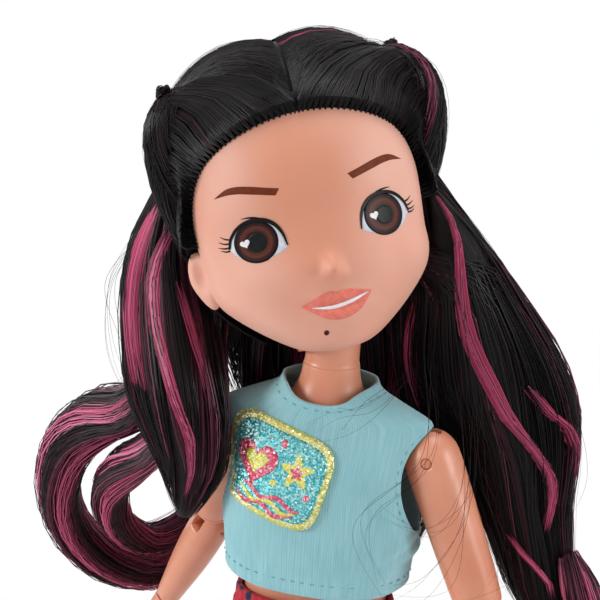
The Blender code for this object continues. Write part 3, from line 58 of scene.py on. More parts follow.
bodyPlace = Matrix.Translation((0, -0.0125, 0)) @ toMetres  # body tables are in mm on the body's own axes
print("frame loaded:", len(nodes), "nodes")

headPose = {"pivot": (0, -0.0125, 0.228), "nod": -8.7, "tilt": -19.4, "turn": 22.0, "setBack": 3.0, "drop": 23.0}
headPlace = (
    Matrix.Translation(headPose["pivot"])
    @ Matrix.Rotation(radians(headPose["nod"]), 4, "X")
    @ Matrix.Rotation(radians(headPose["tilt"]), 4, "Y")
    @ Matrix.Rotation(radians(headPose["turn"]), 4, "Z")
    @ Matrix.Translation((0, -headPose["setBack"] * mm, headPose["drop"] * mm))
    @ toMetres
)  # head tables are in mm, with the eyes at z = 0 and the face towards -y


# Shared helpers

def colour(code):
    parts = [int(code[i:i + 2], 16) / 255 for i in (1, 3, 5)]
    return (*[c / 12.92 if c <= 0.04045 else ((c + 0.055) / 1.055) ** 2.4 for c in parts], 1.0)


def newMaterial(name):
    material = bpy.data.materials.new(name)
    material.use_nodes = True
    material.node_tree.nodes.clear()
    return material, functools.partial(addNode, material)


def addNode(owner, kind, inputs=None, stops=None, **settings):
    # An input that is a node takes its first output
    tree = owner.node_tree
    node = tree.nodes.new("ShaderNode" + kind)
    for key, value in settings.items():
        setattr(node, key, value)
    for key, value in (inputs or {}).items():
        if isinstance(value, bpy.types.Node):
            value = value.outputs[0]
        if isinstance(value, bpy.types.NodeSocket):
            tree.links.new(value, node.inputs[key])
        else:
            node.inputs[key].default_value = value
    if stops:
        elements = node.color_ramp.elements
        while len(elements) < len(stops):
            elements.new(0.5)
        for element, (position, code) in zip(elements, stops):
            element.position = position
            element.color = colour(code)
    return node


def smoothstep(low, high, value):
    t = min(max((value - low) / (high - low), 0.0), 1.0)
    return t * t * (3 - 2 * t)


def rowAt(rows, t):
    # Catmull-Rom through evenly spaced rows, t from 0 to 1
    last = len(rows) - 1
    position = min(max(t, 0.0), 1.0) * last
    i = min(int(position), last - 1)
    f = position - i
    a, b, c, d = rows[max(i - 1, 0)], rows[i], rows[i + 1], rows[min(i + 2, last)]
    return [
        0.5 * (2 * q + (r - p) * f + (2 * p - 5 * q + 4 * r - s) * f * f + (3 * q - p - 3 * r + s) * f ** 3)
        for p, q, r, s in zip(a, b, c, d)
    ]


def tableAt(rows, key):
    # Smooth look-up in rows whose first number is the key
    keys = [row[0] for row in rows]
    last = len(rows) - 1
    i = 0
    while i < last - 1 and key > keys[i + 1]:
        i += 1
    span = keys[i + 1] - keys[i]
    f = min(max((key - keys[i]) / span, 0.0), 1.0)
    found = []
    for k in range(1, len(rows[0])):
        def slope(j):
            lo, hi = max(j - 1, 0), min(j + 1, last)
            return (rows[hi][k] - rows[lo][k]) / (keys[hi] - keys[lo]) * span
        p, q = rows[i][k], rows[i + 1][k]
        u, v = slope(i), slope(i + 1)
        found.append(p + f * u + f * f * (3 * (q - p) - 2 * u - v) + f ** 3 * (2 * (p - q) + u + v))
    return found


def faceOutwards(bm):
    bmesh.ops.recalc_face_normals(bm, faces=bm.faces)
    if bm.calc_volume(signed=True) < 0:
        bmesh.ops.reverse_faces(bm, faces=bm.faces)


def addPiece(name, bm, material, body, replaced=(), ride=True):
    mesh = bpy.data.meshes.new(name)
    bm.to_mesh(mesh)
    bm.free()
    mesh.materials.append(material)
    mesh.shade_smooth()
    piece = bpy.data.objects.new(name, mesh)
    bpy.context.scene.collection.objects.link(piece)
    if ride:
        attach(piece, body)
    if replaced:
        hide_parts(*replaced)
    return piece


def bakeModifiers(piece):
    graph = bpy.context.evaluated_depsgraph_get()
    mesh = bpy.data.meshes.new_from_object(piece.evaluated_get(graph), depsgraph=graph)
    piece.modifiers.clear()
    piece.data = mesh
    return piece


def loftRings(rings, closeStart=True, closeEnd=True):
    # A circle is extruded from ring to ring, and each new loop is laid on its ring
    bm = bmesh.new()
    loop = bmesh.ops.create_circle(bm, cap_ends=False, segments=len(rings[0]), radius=1)["verts"]
    for vert, point in zip(loop, rings[0]):
        vert.co = point
    first = list(loop)
    uv = bm.loops.layers.uv.new("flow")
    for k, ring in enumerate(rings[1:]):
        edges = [bm.edges.get((loop[i], loop[(i + 1) % len(loop)])) for i in range(len(loop))]
        made = bmesh.ops.extrude_edge_only(bm, edges=edges)["geom"]
        fresh = [g for g in made if isinstance(g, bmesh.types.BMVert)]
        order = []
        for vert in loop:
            order.append(next(e.other_vert(vert) for e in vert.link_edges if e.other_vert(vert) in fresh))
        for vert, point in zip(order, ring):
            vert.co = point
        count = len(loop)
        place = {vert: (i, k) for i, vert in enumerate(loop)}
        place.update({vert: (i, k + 1) for i, vert in enumerate(order)})
        for face in (g for g in made if isinstance(g, bmesh.types.BMFace)):
            columns = [place[c.vert][0] for c in face.loops]
            wraps = max(columns) - min(columns) > 1
            for corner in face.loops:
                i, row = place[corner.vert]
                corner[uv].uv = ((count if wraps and i == 0 else i) / count, row / (len(rings) - 1))
        loop = order
    for wanted, ends in ((closeStart, first), (closeEnd, loop)):
        if wanted:
            bm.faces.new(ends)
    faceOutwards(bm)
    return bm


# Materials

def makeVinyl():
    # Soft PVC, rotation moulded: matte, faintly waxy, a little light passes through thin parts
    material, add = newMaterial("softVinylHead")
    spot = add("TexCoord")
    headMap = add("Mapping", {
        "Vector": spot.outputs["Object"], "Location": headPlace.translation,
        "Rotation": headPlace.to_euler()}, vector_type="TEXTURE")
    patches = add("TexNoise", {"Vector": headMap, "Scale": 40.0, "Detail": 2.0})
    tone = add("ValToRGB", {"Fac": patches},
                   [(0.35, vinylLook["shade"]), (0.5, vinylLook["base"]), (0.68, vinylLook["light"])])
    # painted shade: the middle of the face, 20 mm across, is darker and warmer, as shade between the two side lamps
    middleShadeMap = add("Mapping", {
        "Vector": headMap, "Location": (-0.001, -0.022, 0.007),
        "Scale": (0.017, 0.03, 0.030)}, vector_type="TEXTURE")
    middleShade = add("TexGradient", {"Vector": middleShadeMap}, gradient_type="SPHERICAL")
    middleShadeShare = add("MapRange", {"Value": middleShade.outputs["Fac"], "From Max": 0.75, "To Max": 0.85},
                         interpolation_type="SMOOTHSTEP")
    middleShaded = add("Mix", {0: middleShadeShare, 6: tone,
                                        7: colour(vinylLook["middleShade"])}, data_type="RGBA")
    grain = add("TexNoise", {"Vector": spot.outputs["Object"], "Scale": 2600.0, "Detail": 3.0})
    skinBump = add("Bump", {"Height": grain, "Strength": 0.06, "Distance": 0.0002})
    shader = add("BsdfPrincipled", {
        "Base Color": middleShaded.outputs[2], "Roughness": 0.5, "IOR": 1.4, "Subsurface Weight": 0.12,
        "Subsurface Radius": (1.0, 0.45, 0.3), "Subsurface Scale": 0.0022, "Normal": skinBump})
    add("OutputMaterial", {"Surface": shader})
    return material


# the darker, warmer colour for the middle of the face is painted shade
vinylLook = {"base": "#e6ab97", "shade": "#e2a38d", "light": "#eab3a0", "middleShade": "#df9678"}
softVinyl = makeVinyl()


def makeBodyPlastic(name, look):
    # Hard ABS, injection moulded: smoother and shinier than the head, fine flow marks
    material, add = newMaterial(name)
    spot = add("TexCoord")
    patches = add("TexNoise", {"Vector": spot.outputs["Object"], "Scale": 55.0, "Detail": 3.0})
    tone = add("ValToRGB", {"Fac": patches},
                   [(0.32, look["shade"]), (0.52, look["base"]), (0.7, look["light"])])
    smear = add("TexNoise", {"Vector": spot.outputs["Object"], "Scale": 320.0, "Detail": 4.0})
    rough = add("MapRange", {"Value": smear, "To Min": look["rough"] - 0.06,
                                           "To Max": look["rough"] + 0.08})
    flow = add("Bump", {"Height": smear, "Strength": 0.05, "Distance": 0.0002})
    shader = add("BsdfPrincipled", {
        "Base Color": tone, "Roughness": rough, "IOR": 1.53,
        "Subsurface Weight": 0.08, "Subsurface Radius": (1.0, 0.4, 0.25), "Subsurface Scale": 0.0015,
        "Normal": flow})
    add("OutputMaterial", {"Surface": shader})
    return material


bodyLook = {"base": "#dc9072", "shade": "#d38364", "light": "#e29a7c", "rough": 0.33}
pinLook = {"base": "#cf8263", "shade": "#c47453", "light": "#d68b6c", "rough": 0.38}
bodyPlastic = makeBodyPlastic("bodyPlastic", bodyLook)
pinPlastic = makeBodyPlastic("pinPlastic", pinLook)
jointPlastic = makeBodyPlastic("jointPlastic", {"base": "#c07355", "shade": "#b26547", "light": "#ca7f61",
                                                "rough": 0.4})


def makeHair(name, stops, roughness):
    # Saran fibre, extruded: smooth and glossy along each hair, tone changes from hair to hair; painted shade darkens
    # each hair near its root
    material, add = newMaterial(name)
    shade = add("Attribute", attribute_name="strandShade")
    tone = add("ValToRGB", {"Fac": shade.outputs["Fac"]}, stops)
    # painted shade: the first eighth of each hair from its root is darkened, down to 0.45 of its tone at the root, as
    # shade where it leaves the hair around it
    along = add("Attribute", attribute_name="strandAlong")
    dark = add("MapRange", {"Value": along.outputs["Fac"], "From Max": 0.12, "To Min": 0.45, "To Max": 1.0})
    toned = add("Mix", {0: 1.0, 6: tone, 7: dark},
                    data_type="RGBA", blend_type="MULTIPLY")
    shader = add("BsdfPrincipled", {
        "Base Color": toned.outputs[2], "Roughness": roughness, "IOR": 1.24})
    add("OutputMaterial", {"Surface": shader})
    return material


hairBlack = makeHair("blackSaranHair", [(0.0, "#070506"), (0.5, "#110d0e"), (0.85, "#20181a"), (1.0, "#3a2b2f")], 0.28)
hairPlum = makeHair("plumSaranHair", [(0.0, "#241018"), (0.4, "#431d2b"), (0.75, "#662f43"), (1.0, "#8a5266")], 0.34)
hairPink = makeHair("pinkSaranHair", [(0.0, "#8c2f4c"), (0.35, "#b84468"), (0.7, "#d06489"), (1.0, "#e49ab5")], 0.36)


def makeHairMass(name, low, high):
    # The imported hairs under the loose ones: fine grooves that run along the mass, 0.15 mm apart
    material, add = newMaterial(name)
    flow = add("UVMap", uv_map="flow")
    stretch = add("Mapping", {"Vector": flow, "Scale": (260.0, 5.0, 1.0)})
    streak = add("TexNoise", {"Vector": stretch, "Scale": 1.0, "Detail": 3.0})
    tone = add("ValToRGB", {"Fac": streak}, [(0.35, low), (0.7, high)])
    groove = add("Bump", {"Height": streak, "Strength": 0.7, "Distance": 0.0003})
    shader = add("BsdfPrincipled", {
        "Base Color": tone, "Roughness": 0.45, "IOR": 1.25,
        "Normal": groove})
    add("OutputMaterial", {"Surface": shader})
    return material


massBlack = makeHairMass("blackHairMass", "#070506", "#171214")
massPlum = makeHairMass("plumHairMass", "#170b10", "#3c1c29")


def makePrint(name, code, second, roughness=0.3):
    # Pad-printed ink: thin, even and slightly glossy, faintly mottled
    material, add = newMaterial(name)
    spot = add("TexCoord")
    mottle = add("TexNoise", {"Vector": spot.outputs["Object"], "Scale": 900.0, "Detail": 2.0})
    tone = add("ValToRGB", {"Fac": mottle}, [(0.3, code), (0.75, second)])
    shader = add("BsdfPrincipled", {"Base Color": tone, "Roughness": roughness, "IOR": 1.22})
    add("OutputMaterial", {"Surface": shader})
    return material


inkWhite = makePrint("whiteInk", "#ced1dc", "#e2e4ec", 0.35)
inkBlack = makePrint("blackInk", "#0c0a0b", "#171112", 0.3)
inkPupil = makePrint("pupilInk", "#0d1011", "#191e20", 0.3)
inkBrow = makePrint("browInk", "#652a15", "#74341d", 0.5)
inkLip = makePrint("lipInk", "#e27464", "#ec8d7e", 0.4)
inkTeeth = makePrint("teethInk", "#f3eff3", "#ffffff", 0.35)
inkDot = makePrint("dotInk", "#43180f", "#532015", 0.35)
inkGlint = makePrint("glintInk", "#e6e4e6", "#f5f3f4", 0.25)


def makeIris():
    # Printed rings round the pupil, with fine radial lines
    material, add = newMaterial("irisInk")
    ring = add("UVMap", uv_map="flow")
    parts = add("SeparateXYZ", {"Vector": ring})
    bands = add("ValToRGB", {"Fac": parts},
                    [(0.0, "#1d100d"), (0.48, "#2c1712"), (0.57, "#512a20"), (0.72, "#5f3125"), (0.78, "#38191f"),
                     (0.86, "#301614"), (0.90, "#0b0707")])
    spokes = add("Mapping", {"Vector": ring, "Scale": (3.0, 70.0, 1.0)})
    lines = add("TexNoise", {"Vector": spokes, "Scale": 1.0, "Detail": 2.0})
    lit = add("Mix", {0: 0.35, 6: bands, 7: lines.outputs["Color"]},
                  data_type="RGBA", blend_type="SOFT_LIGHT")
    shader = add("BsdfPrincipled", {"Base Color": lit.outputs[2], "Roughness": 0.35, "IOR": 1.22})
    add("OutputMaterial", {"Surface": shader})
    return material


inkIris = makeIris()
print("materials for the head made")


# Head

headShape = {
    "halfWidth": 22.8, "depth": 47, "height": 58.4, "eyeLevel": 24.2, "power": 2.15,
    "noseRise": 3.1, "noseZ": -8.4, "columns": 208, "rows": 150,
    "sections": (  # share of the height, half width, middle, front and back
        (0, 0.12, -0.19, 0.11, 0.13), (0.012, 0.28, -0.12, 0.24, 0.36), (0.047, 0.45, -0.1, 0.305, 0.43),
        (0.123, 0.7, -0.08, 0.36, 0.47), (0.207, 0.91, -0.04, 0.415, 0.48), (0.274, 0.985, -0.02, 0.44, 0.48),
        (0.358, 0.998, 0, 0.455, 0.49), (0.459, 1.02, 0, 0.455, 0.515), (0.56, 1.035, 0.02, 0.49, 0.51),
        (0.66, 1.01, 0.02, 0.49, 0.51), (0.761, 0.935, 0.02, 0.46, 0.485), (0.862, 0.78, 0.02, 0.4, 0.415),
        (0.938, 0.58, 0.02, 0.3, 0.31), (0.983, 0.33, 0.02, 0.17, 0.17), (1, 0.1, 0.02, 0.05, 0.05)),
}


def bellCurve(x, width):
    return exp(-(x / width) ** 2)


def faceRelief(x, z):
    # How far the face stands out from the plain head, in mm
    nose = headShape["noseZ"]
    rise = headShape["noseRise"] * bellCurve(x, 1.55) * (bellCurve(z - nose, 2.5)
                                                         if z > nose else bellCurve(z - nose, 1.4))
    rise += 0.45 * (bellCurve(x - 1.8, 0.8) + bellCurve(x + 1.8, 0.8)) * bellCurve(z - nose + 1.0, 0.9)
    rise -= 0.5 * bellCurve(abs(x) - 12.7, 6.0) * bellCurve(z, 5.0)  # shallow eye hollows
    mouth = -14.2 - 0.035 * (36 - min(x * x, 36))
    across = bellCurve(x + 0.4, 5.2)
    rise += 0.75 * across * bellCurve(z - mouth - 1.2, 1.1) + 0.95 * across * bellCurve(z - mouth + 1.9, 1.3)
    rise -= 0.25 * across * bellCurve(z - mouth, 0.8)
    rise += 0.5 * bellCurve(x, 5.0) * bellCurve(z + 21.0, 3.0)
    return rise


def headRing(z, angle, grow=0.0):
    shape = headShape
    share = (z + shape["eyeLevel"]) / shape["height"]
    width, middle, front, back = tableAt(shape["sections"], min(max(share, 0.0), 1.0))
    c, s = cos(angle), sin(angle)
    across = copysign(abs(c) ** (2 / shape["power"]), c)
    along = copysign(abs(s) ** (2 / shape["power"]), s)
    depth = (back if s > 0 else front) * shape["depth"]
    return Vector((
        (width * shape["halfWidth"] + grow) * across, middle * shape["depth"] + (depth + grow) * along, z))


def addTool(name, bm):
    faceOutwards(bm)
    mesh = bpy.data.meshes.new(name)
    bm.to_mesh(mesh)
    bm.free()
    tool = bpy.data.objects.new(name, mesh)
    bpy.context.scene.collection.objects.link(tool)
    return tool


def cutWith(piece, tool):
    carve = piece.modifiers.new("carve", "BOOLEAN")
    carve.operation, carve.solver, carve.object = "DIFFERENCE", "EXACT", tool
    bakeModifiers(piece)
    bpy.data.objects.remove(tool)
    piece.data.shade_smooth()


def headMesh():
    shape = headShape
    bm = bmesh.new()
    bmesh.ops.create_uvsphere(bm, u_segments=shape["columns"], v_segments=shape["rows"], radius=1)
    for vert in bm.verts:
        x, y, z = vert.co
        height = (z + 1) / 2 * shape["height"] - shape["eyeLevel"]
        if x * x + y * y < 1e-10:
            vert.co = (0, tableAt(shape["sections"], 0 if z < 0 else 1)[1] * shape["depth"], height)
            continue
        angle = atan2(y, x)
        point = headRing(height, angle)
        if y < 0:
            point.y -= faceRelief(point.x, point.z) * min(1.0, -y / hypot(x, y) * 1.4)
        vert.co = point
    faceOutwards(bm)
    return bm


plain = headMesh()
headSkin = BVHTree.FromBMesh(plain)
headShell = addPiece("headShell", plain, softVinyl, "head", ("head",), ride=False)
socket = bmesh.new()  # the bore that the neck plugs into
bmesh.ops.create_cone(socket, cap_ends=True, segments=64, radius1=11.4, radius2=7.8, depth=8.0,
                      matrix=Matrix.Translation((0, 3, -26.0)))
cutWith(headShell, addTool("socketMouth", socket))
socket = bmesh.new()
bmesh.ops.create_cone(socket, cap_ends=True, segments=64, radius1=9.1, radius2=9.1, depth=11.6,
                      matrix=Matrix.Translation((0, 3, -16.2)))
cutWith(headShell, addTool("socketRoom", socket))
headShell.data.transform(headPlace)
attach(headShell, "head")
print("head shell made")


def skinPoint(x, z, lift):
    hit, normal = headSkin.ray_cast(Vector((x, -60, z)), Vector((0, 1, 0)))[:2]
    if hit is None:
        hit, normal = headSkin.find_nearest(Vector((x, -18, z)))[:2]
    return hit + normal * lift


def discMesh(rings, segments):
    bm = bmesh.new()
    spine = [bm.verts.new((k / rings, 0, 0)) for k in range(rings + 1)]
    edges = [bm.edges.new(pair) for pair in zip(spine, spine[1:])]
    bmesh.ops.spin(bm, geom=spine + edges, cent=(0, 0, 0), axis=(0, 0, 1), angle=2 * pi,
                   steps=segments, use_merge=True)
    bmesh.ops.remove_doubles(bm, verts=bm.verts, dist=1e-6)
    uv = bm.loops.layers.uv.new("flow")
    for face in bm.faces:
        for corner in face.loops:
            x, y = corner.vert.co.xy
            corner[uv].uv = (hypot(x, y), (atan2(y, x) / pi + 1) / 2)
    return bm


def stripMesh(along, across):
    bm = bmesh.new()
    bmesh.ops.create_grid(bm, x_segments=along, y_segments=across, size=1)
    bm.loops.layers.uv.new("flow")
    return bm


def thicken(bm, thickness):
    # A flat layer, turned to face the front and given its thickness
    bmesh.ops.recalc_face_normals(bm, faces=bm.faces)
    if sum((face.normal.y * face.calc_area() for face in bm.faces), 0.0) > 0:
        bmesh.ops.reverse_faces(bm, faces=bm.faces)
    bmesh.ops.solidify(bm, geom=bm.faces, thickness=thickness)


def printOn(name, bm, where, lift, material, thickness=0.04):
    # Lays a flat shape on the face: where gives x and z of each of its points
    for vert in bm.verts:
        x, z = where(vert.co)
        vert.co = skinPoint(x, z, lift)
    thicken(bm, thickness)
    bm.transform(headPlace)
    addPiece(name, bm, material, "head")


def curvePoint(points, t):
    return Vector(rowAt(points, t))


def stripBetween(low, high):
    return lambda co: curvePoint(low, (co.x + 1) / 2).lerp(curvePoint(high, (co.x + 1) / 2), (co.y + 1) / 2)


def strokeAlong(points, widths):
    def where(co):
        t = (co.x + 1) / 2
        here, ahead = curvePoint(points, t), curvePoint(points,
                                                        min(t + 0.02, 1.0)) - curvePoint(points, max(t - 0.02, 0.0))
        across = Vector((-ahead.y, ahead.x)).normalized()
        return here + across * (co.y * rowAt([(w,) for w in widths], t)[0] / 2)
    return where


eyePrint = {
    "centres": {"left": 12.5, "right": -12.95}, "irisRadius": 4.12, "pupilRadius": 1.8, "pupilShift": 0.1,
    "lid": ((18, -0.35), (17.45, 1.5), (16.1, 3.15), (14.4, 4.05), (12.4, 4.25), (10.4, 3.7), (8.8, 2.4),
            (7.8, 0.5), (7.35, -1.9)),
    "lidWidths": (0.3, 0.5, 0.62, 0.7, 0.72, 0.78, 0.72, 0.5, 0.22),
    "white": ((18, -0.4), (17.5, 1.4), (16.1, 3.1), (14.4, 3.9), (12.4, 4.1), (10.4, 3.6), (8.8, 2.3), (7.8, 0.4),
              (7.4, -1.9), (8.4, -2.75), (9.9, -3.3), (11.6, -3.85), (13.7, -3.8), (15.5, -3.1), (16.9, -2)),
    "crease": ((14.9, 4.95), (13.6, 4.9), (12.2, 4.6), (10.7, 3.9)), "creaseWidths": (0.1, 0.3, 0.34, 0.25),
    "lashes": (((17.4, 1.5), (18.4, 1.8), (19.3, 2.5)), ((17.7, 0.8), (18.7, 0.9), (19.7, 1.5)),
               ((17.85, 0.05), (18.9, 0.05), (19.9, 0.45)), ((17.95, -0.6), (18.8, -0.6), (19.6, -0.2))),
    "lashWidths": (0.36, 0.28, 0.06),
    "brow": (((6.8, 9.15), (9.5, 9.9), (12.1, 10.7), (14.6, 11.25), (16.6, 11.15), (18.9, 9.95)),
             ((7.7, 7.95), (9.7, 8.5), (11.9, 9.1), (14.3, 9.75), (16.5, 10.05), (18.9, 9.9))),
    "glintBack": 2.05, "glintSize": 0.92,
}


def heartOutline(angle):
    # A small heart, about 2 units wide
    x = sin(angle) ** 3
    z = (13 * cos(angle) - 5 * cos(2 * angle) - 2 * cos(3 * angle) - cos(4 * angle)) / 16
    return x, z


def addEye(word, side):
    eye = eyePrint
    mirrored = lambda points: [(side * x, z) for x, z in points]
    white = mirrored(eye["white"])
    centre = eye["centres"][word]

    def onWhite(co):
        t = (atan2(co.y, co.x) / (2 * pi)) % 1.0
        edge = curvePoint(white + [white[0]], t)
        return Vector((centre, 0)).lerp(edge, hypot(co.x, co.y))

    printOn(f"eyeWhite_{word}", discMesh(8, 60), onWhite, 0.03, inkWhite)
    radius = eye["irisRadius"]
    printOn(f"iris_{word}", discMesh(12, 72), lambda co: (centre + radius * co.x, radius * co.y), 0.07, inkIris)
    pupil = eye["pupilRadius"]
    shift = centre + eye["pupilShift"]
    printOn(f"pupil_{word}", discMesh(6, 48), lambda co: (shift + pupil * co.x, pupil * co.y - 0.1), 0.11, inkPupil)
    glint = eye["glintSize"]

    def onGlint(co):
        x, z = heartOutline(pi / 2 - atan2(co.y, co.x))
        r = hypot(co.x, co.y)
        tip = Vector((x * glint * r, z * glint * r))
        turned = Matrix.Rotation(0.2, 2) @ tip
        return centre - eye["glintBack"] + turned.x, turned.y + 0.1
    printOn(f"glint_{word}", discMesh(4, 48), onGlint, 0.15, inkGlint)
    printOn(f"lidLine_{word}", stripMesh(64, 4), strokeAlong(mirrored(eye["lid"]), eye["lidWidths"]), 0.16, inkBlack)
    printOn(f"lidCrease_{word}", stripMesh(24, 2), strokeAlong(mirrored(eye["crease"]), eye["creaseWidths"]), 0.05,
            inkBlack)
    for k, lash in enumerate(eye["lashes"]):
        printOn(f"lash_{word}_{k + 1}", stripMesh(14, 2), strokeAlong(mirrored(lash), eye["lashWidths"]), 0.05,
                inkBlack)
    high, low = (mirrored(points) for points in eye["brow"])
    printOn(f"brow_{word}", stripMesh(44, 5), stripBetween(low, high), 0.04, inkBrow)


for word, side in (("left", 1), ("right", -1)):
    addEye(word, side)

mouthPrint = {
    "top": ((-7.4, -14.05), (-5.4, -13.4), (-2.9, -12.6), (-1.3, -12.35), (-0.3, -12.7), (1, -12.5), (3.5, -12.85),
            (6.6, -13.8)),
    "upperEdge": ((-7.4, -14.1), (-5.3, -14.72), (-3.4, -15.02), (-1.6, -15.1), (0.2, -14.98), (2.3, -14.65),
                  (4.6, -14.15), (6.6, -13.85)),
    "lowerEdge": ((-7.4, -14.12), (-5.3, -14.76), (-3.5, -15.5), (-1.6, -15.8), (0.4, -15.72), (2.6, -15.3),
                  (4.8, -14.5), (6.6, -13.87)),
    "teethTop": ((-5.5, -14.75), (-3.4, -15.02), (-1.6, -15.1), (0.2, -14.98), (2.3, -14.65), (4.5, -14.2),
                 (5.9, -13.95)),
    "teethBottom": ((-5.5, -14.8), (-3.5, -15.5), (-1.6, -15.8), (0.4, -15.72), (2.6, -15.3), (4.7, -14.55),
                    (5.9, -14)),
    "bottom": ((-7.4, -14.15), (-5.3, -15.9), (-3.3, -17.3), (-1, -18), (1.1, -17.95), (3.4, -17.1), (5.2, -15.7),
               (6.6, -13.9)),
}
printOn("lipUpper", stripMesh(48, 6), stripBetween(mouthPrint["upperEdge"], mouthPrint["top"]), 0.05, inkLip)
printOn("lipLower", stripMesh(48, 6), stripBetween(mouthPrint["bottom"], mouthPrint["lowerEdge"]), 0.05, inkLip)
printOn("teeth", stripMesh(40, 4), stripBetween(mouthPrint["teethBottom"], mouthPrint["teethTop"]), 0.07, inkTeeth)
printOn("chinDot", discMesh(3, 24), lambda co: (-3.6 + 0.5 * co.x, -20.1 + 0.5 * co.y), 0.05, inkDot)
print("face print made")

earShape = {"x": 22.9, "y": 1.8, "z": -5.4, "radii": (2.1, 3.7, 6.1), "lean": 0.35, "turn": 42.0}


def addEar(word, side):
    # A rounded rim round a hollow, narrower at the lobe
    shape = earShape
    bm = bmesh.new()
    bmesh.ops.create_uvsphere(bm, u_segments=64, v_segments=48, radius=1)
    for vert in bm.verts:
        x, y, z = vert.co
        outer = smoothstep(0.0, 0.5, x * side)
        hollow = 0.85 * outer * bellCurve(y + 0.12, 0.40) * bellCurve(z - 0.2, 0.46)
        hollow -= 0.12 * outer * bellCurve(y + 0.05, 0.16) * bellCurve(z - 0.1, 0.3)
        lobe = 1.0 - 0.34 * smoothstep(0.1, -1.0, z)
        out, back = shape["radii"][0] * (abs(x) * (1 if x * side > 0 else -1) - hollow), shape["radii"][1] * y * lobe
        c, t = cos(radians(shape["turn"])), sin(radians(shape["turn"]))
        vert.co = (side * (shape["x"] + out * c + back * t + shape["lean"] * z * 2),
                   shape["y"] - out * t + back * c + 0.6 * z, shape["z"] + shape["radii"][2] * z)
    faceOutwards(bm)
    bm.transform(headPlace)
    addPiece(f"ear_{word}", bm, softVinyl, "head")


for word, side in (("left", 1), ("right", -1)):
    addEar(word, side)


# Hair

hairShape = {
    "width": 53.2, "depth": 56, "top": 40.2, "bottom": -21.5, "heart": (0, 2, 6),
    "sections": (
        (0, 0.56, 0, 0.3, 0.34), (0.06, 0.72, 0, 0.36, 0.41), (0.16, 0.9, 0, 0.4, 0.48),
        (0.29, 0.98, 0.01, 0.43, 0.52), (0.42, 1, 0.01, 0.45, 0.53), (0.55, 1, 0.01, 0.45, 0.53),
        (0.68, 0.98, 0.01, 0.43, 0.52), (0.79, 0.92, 0.01, 0.375, 0.48), (0.885, 0.79, 0.01, 0.315, 0.41),
        (0.955, 0.58, 0.01, 0.24, 0.31), (0.99, 0.36, 0.01, 0.15, 0.2), (1, 0.12, 0.01, 0.05, 0.07)),
    "line": (  # the hairline from the centre of the brow to the top of the ear: across, back and up
        (0, -20.3, 22.9), (5, -19.9, 22.5), (11, -18.4, 21.2), (16, -15.8, 19.3), (19.6, -12.6, 16.9),
        (21.9, -9, 13.4), (22.9, -5.8, 9.4), (23.4, -3.2, 5.2), (23.4, -1.8, 1.2)),
    "plugGap": 1.1, "plugHairs": 15, "fine": (0.092, 0.175),
}
flow = {  # places that the combed hair passes on its way, from the brow (or the parting) to behind the ear
    "front": (
        ((6, -16.5, 28.5), (13.5, -12.5, 32.5), (21, -8.5, 33.5), (28.5, -3.5, 30), (30.5, 0.5, 20), (28, 4, 11),
         (25.5, 6, 3)),
        ((12.5, -15.5, 27), (18, -12.5, 30), (24, -9.5, 31), (30.5, -5.5, 27), (31.5, -2, 18), (28.5, 2, 10),
         (25.5, 5, 3)),
        ((18.5, -13.5, 24), (21.5, -12, 27), (26.5, -10, 28), (31.5, -7, 23.5), (31.5, -3.5, 16), (28.5, 0.5, 9),
         (25.2, 4.5, 2.5)),
        ((22.6, -10.5, 16), (24.5, -10, 18), (27.4, -8.5, 18), (28.8, -6, 14.5), (28.2, -2.8, 10), (26.8, 0.5, 6),
         (25, 3.8, 1.8)),
        ((23.4, -7, 10.5), (24.5, -6.8, 10.8), (25.8, -5.6, 9.8), (26.3, -4, 7.8), (26, -1.6, 5.4), (25.5, 0.8, 3.2),
         (24.8, 3.2, 0.6)),
        ((23.8, -3.2, 3.2), (24.3, -2.6, 3.4), (24.9, -1.6, 3.2), (25.2, -0.4, 2.6), (25.2, 0.8, 1.8), (25, 2, 0.8),
         (24.6, 3, -0.2))),
    "parting": (
        ((0.4, -20.4, 23.6), (5.2, -17.1, 28.8), (13, -12.4, 33), (21.2, -8, 33.6), (28.3, -3, 29.6), (30.2, 1, 19.8),
         (27.9, 4.4, 10.5), (25.5, 6.4, 2.8)),
        ((0.4, -12, 35), (6, -10, 37), (14, -7, 37), (21.5, -3.5, 34), (27, 1, 27), (29, 5, 17), (27, 8, 8),
         (25.5, 9, 1)),
        ((0.4, -3, 40), (7, -2.5, 39.5), (14.5, -1, 37), (21, 1.5, 32.5), (26, 5, 24.5), (28, 8.5, 15), (27, 10.5, 6),
         (26, 11, -1)),
        ((0.4, 6, 40), (7, 7, 39), (14, 8, 36), (19.5, 9.5, 30.5), (24, 11.5, 22.5), (26, 13, 13.5), (26, 14, 4),
         (25, 14, -5))),
    "back": (
        ((0.4, 12, 38.5), (6.5, 13.5, 37), (13, 15.5, 33), (18, 17.5, 27), (21.5, 19, 19.5), (23, 19.5, 11),
         (23, 19, 1.5), (22, 18, -7.5)),
        ((0.4, 14.5, 38), (4.5, 18, 35.5), (9, 22, 30.5), (12.5, 25, 23.5), (14.5, 26.5, 15), (15.5, 26, 5.5),
         (15.5, 24, -4), (14.5, 21.5, -12.5)),
        ((0.3, 15.5, 38), (1.2, 20.5, 35.5), (2.2, 25.5, 29.5), (3, 28.8, 21.5), (3.4, 30, 12.5), (3.6, 29, 3),
         (3.6, 26.5, -6), (3.4, 23.5, -14.5))),
}


def hairlinePoint(h):
    return headSkin.find_nearest(Vector(rowAt(hairShape["line"], h)))[:2]


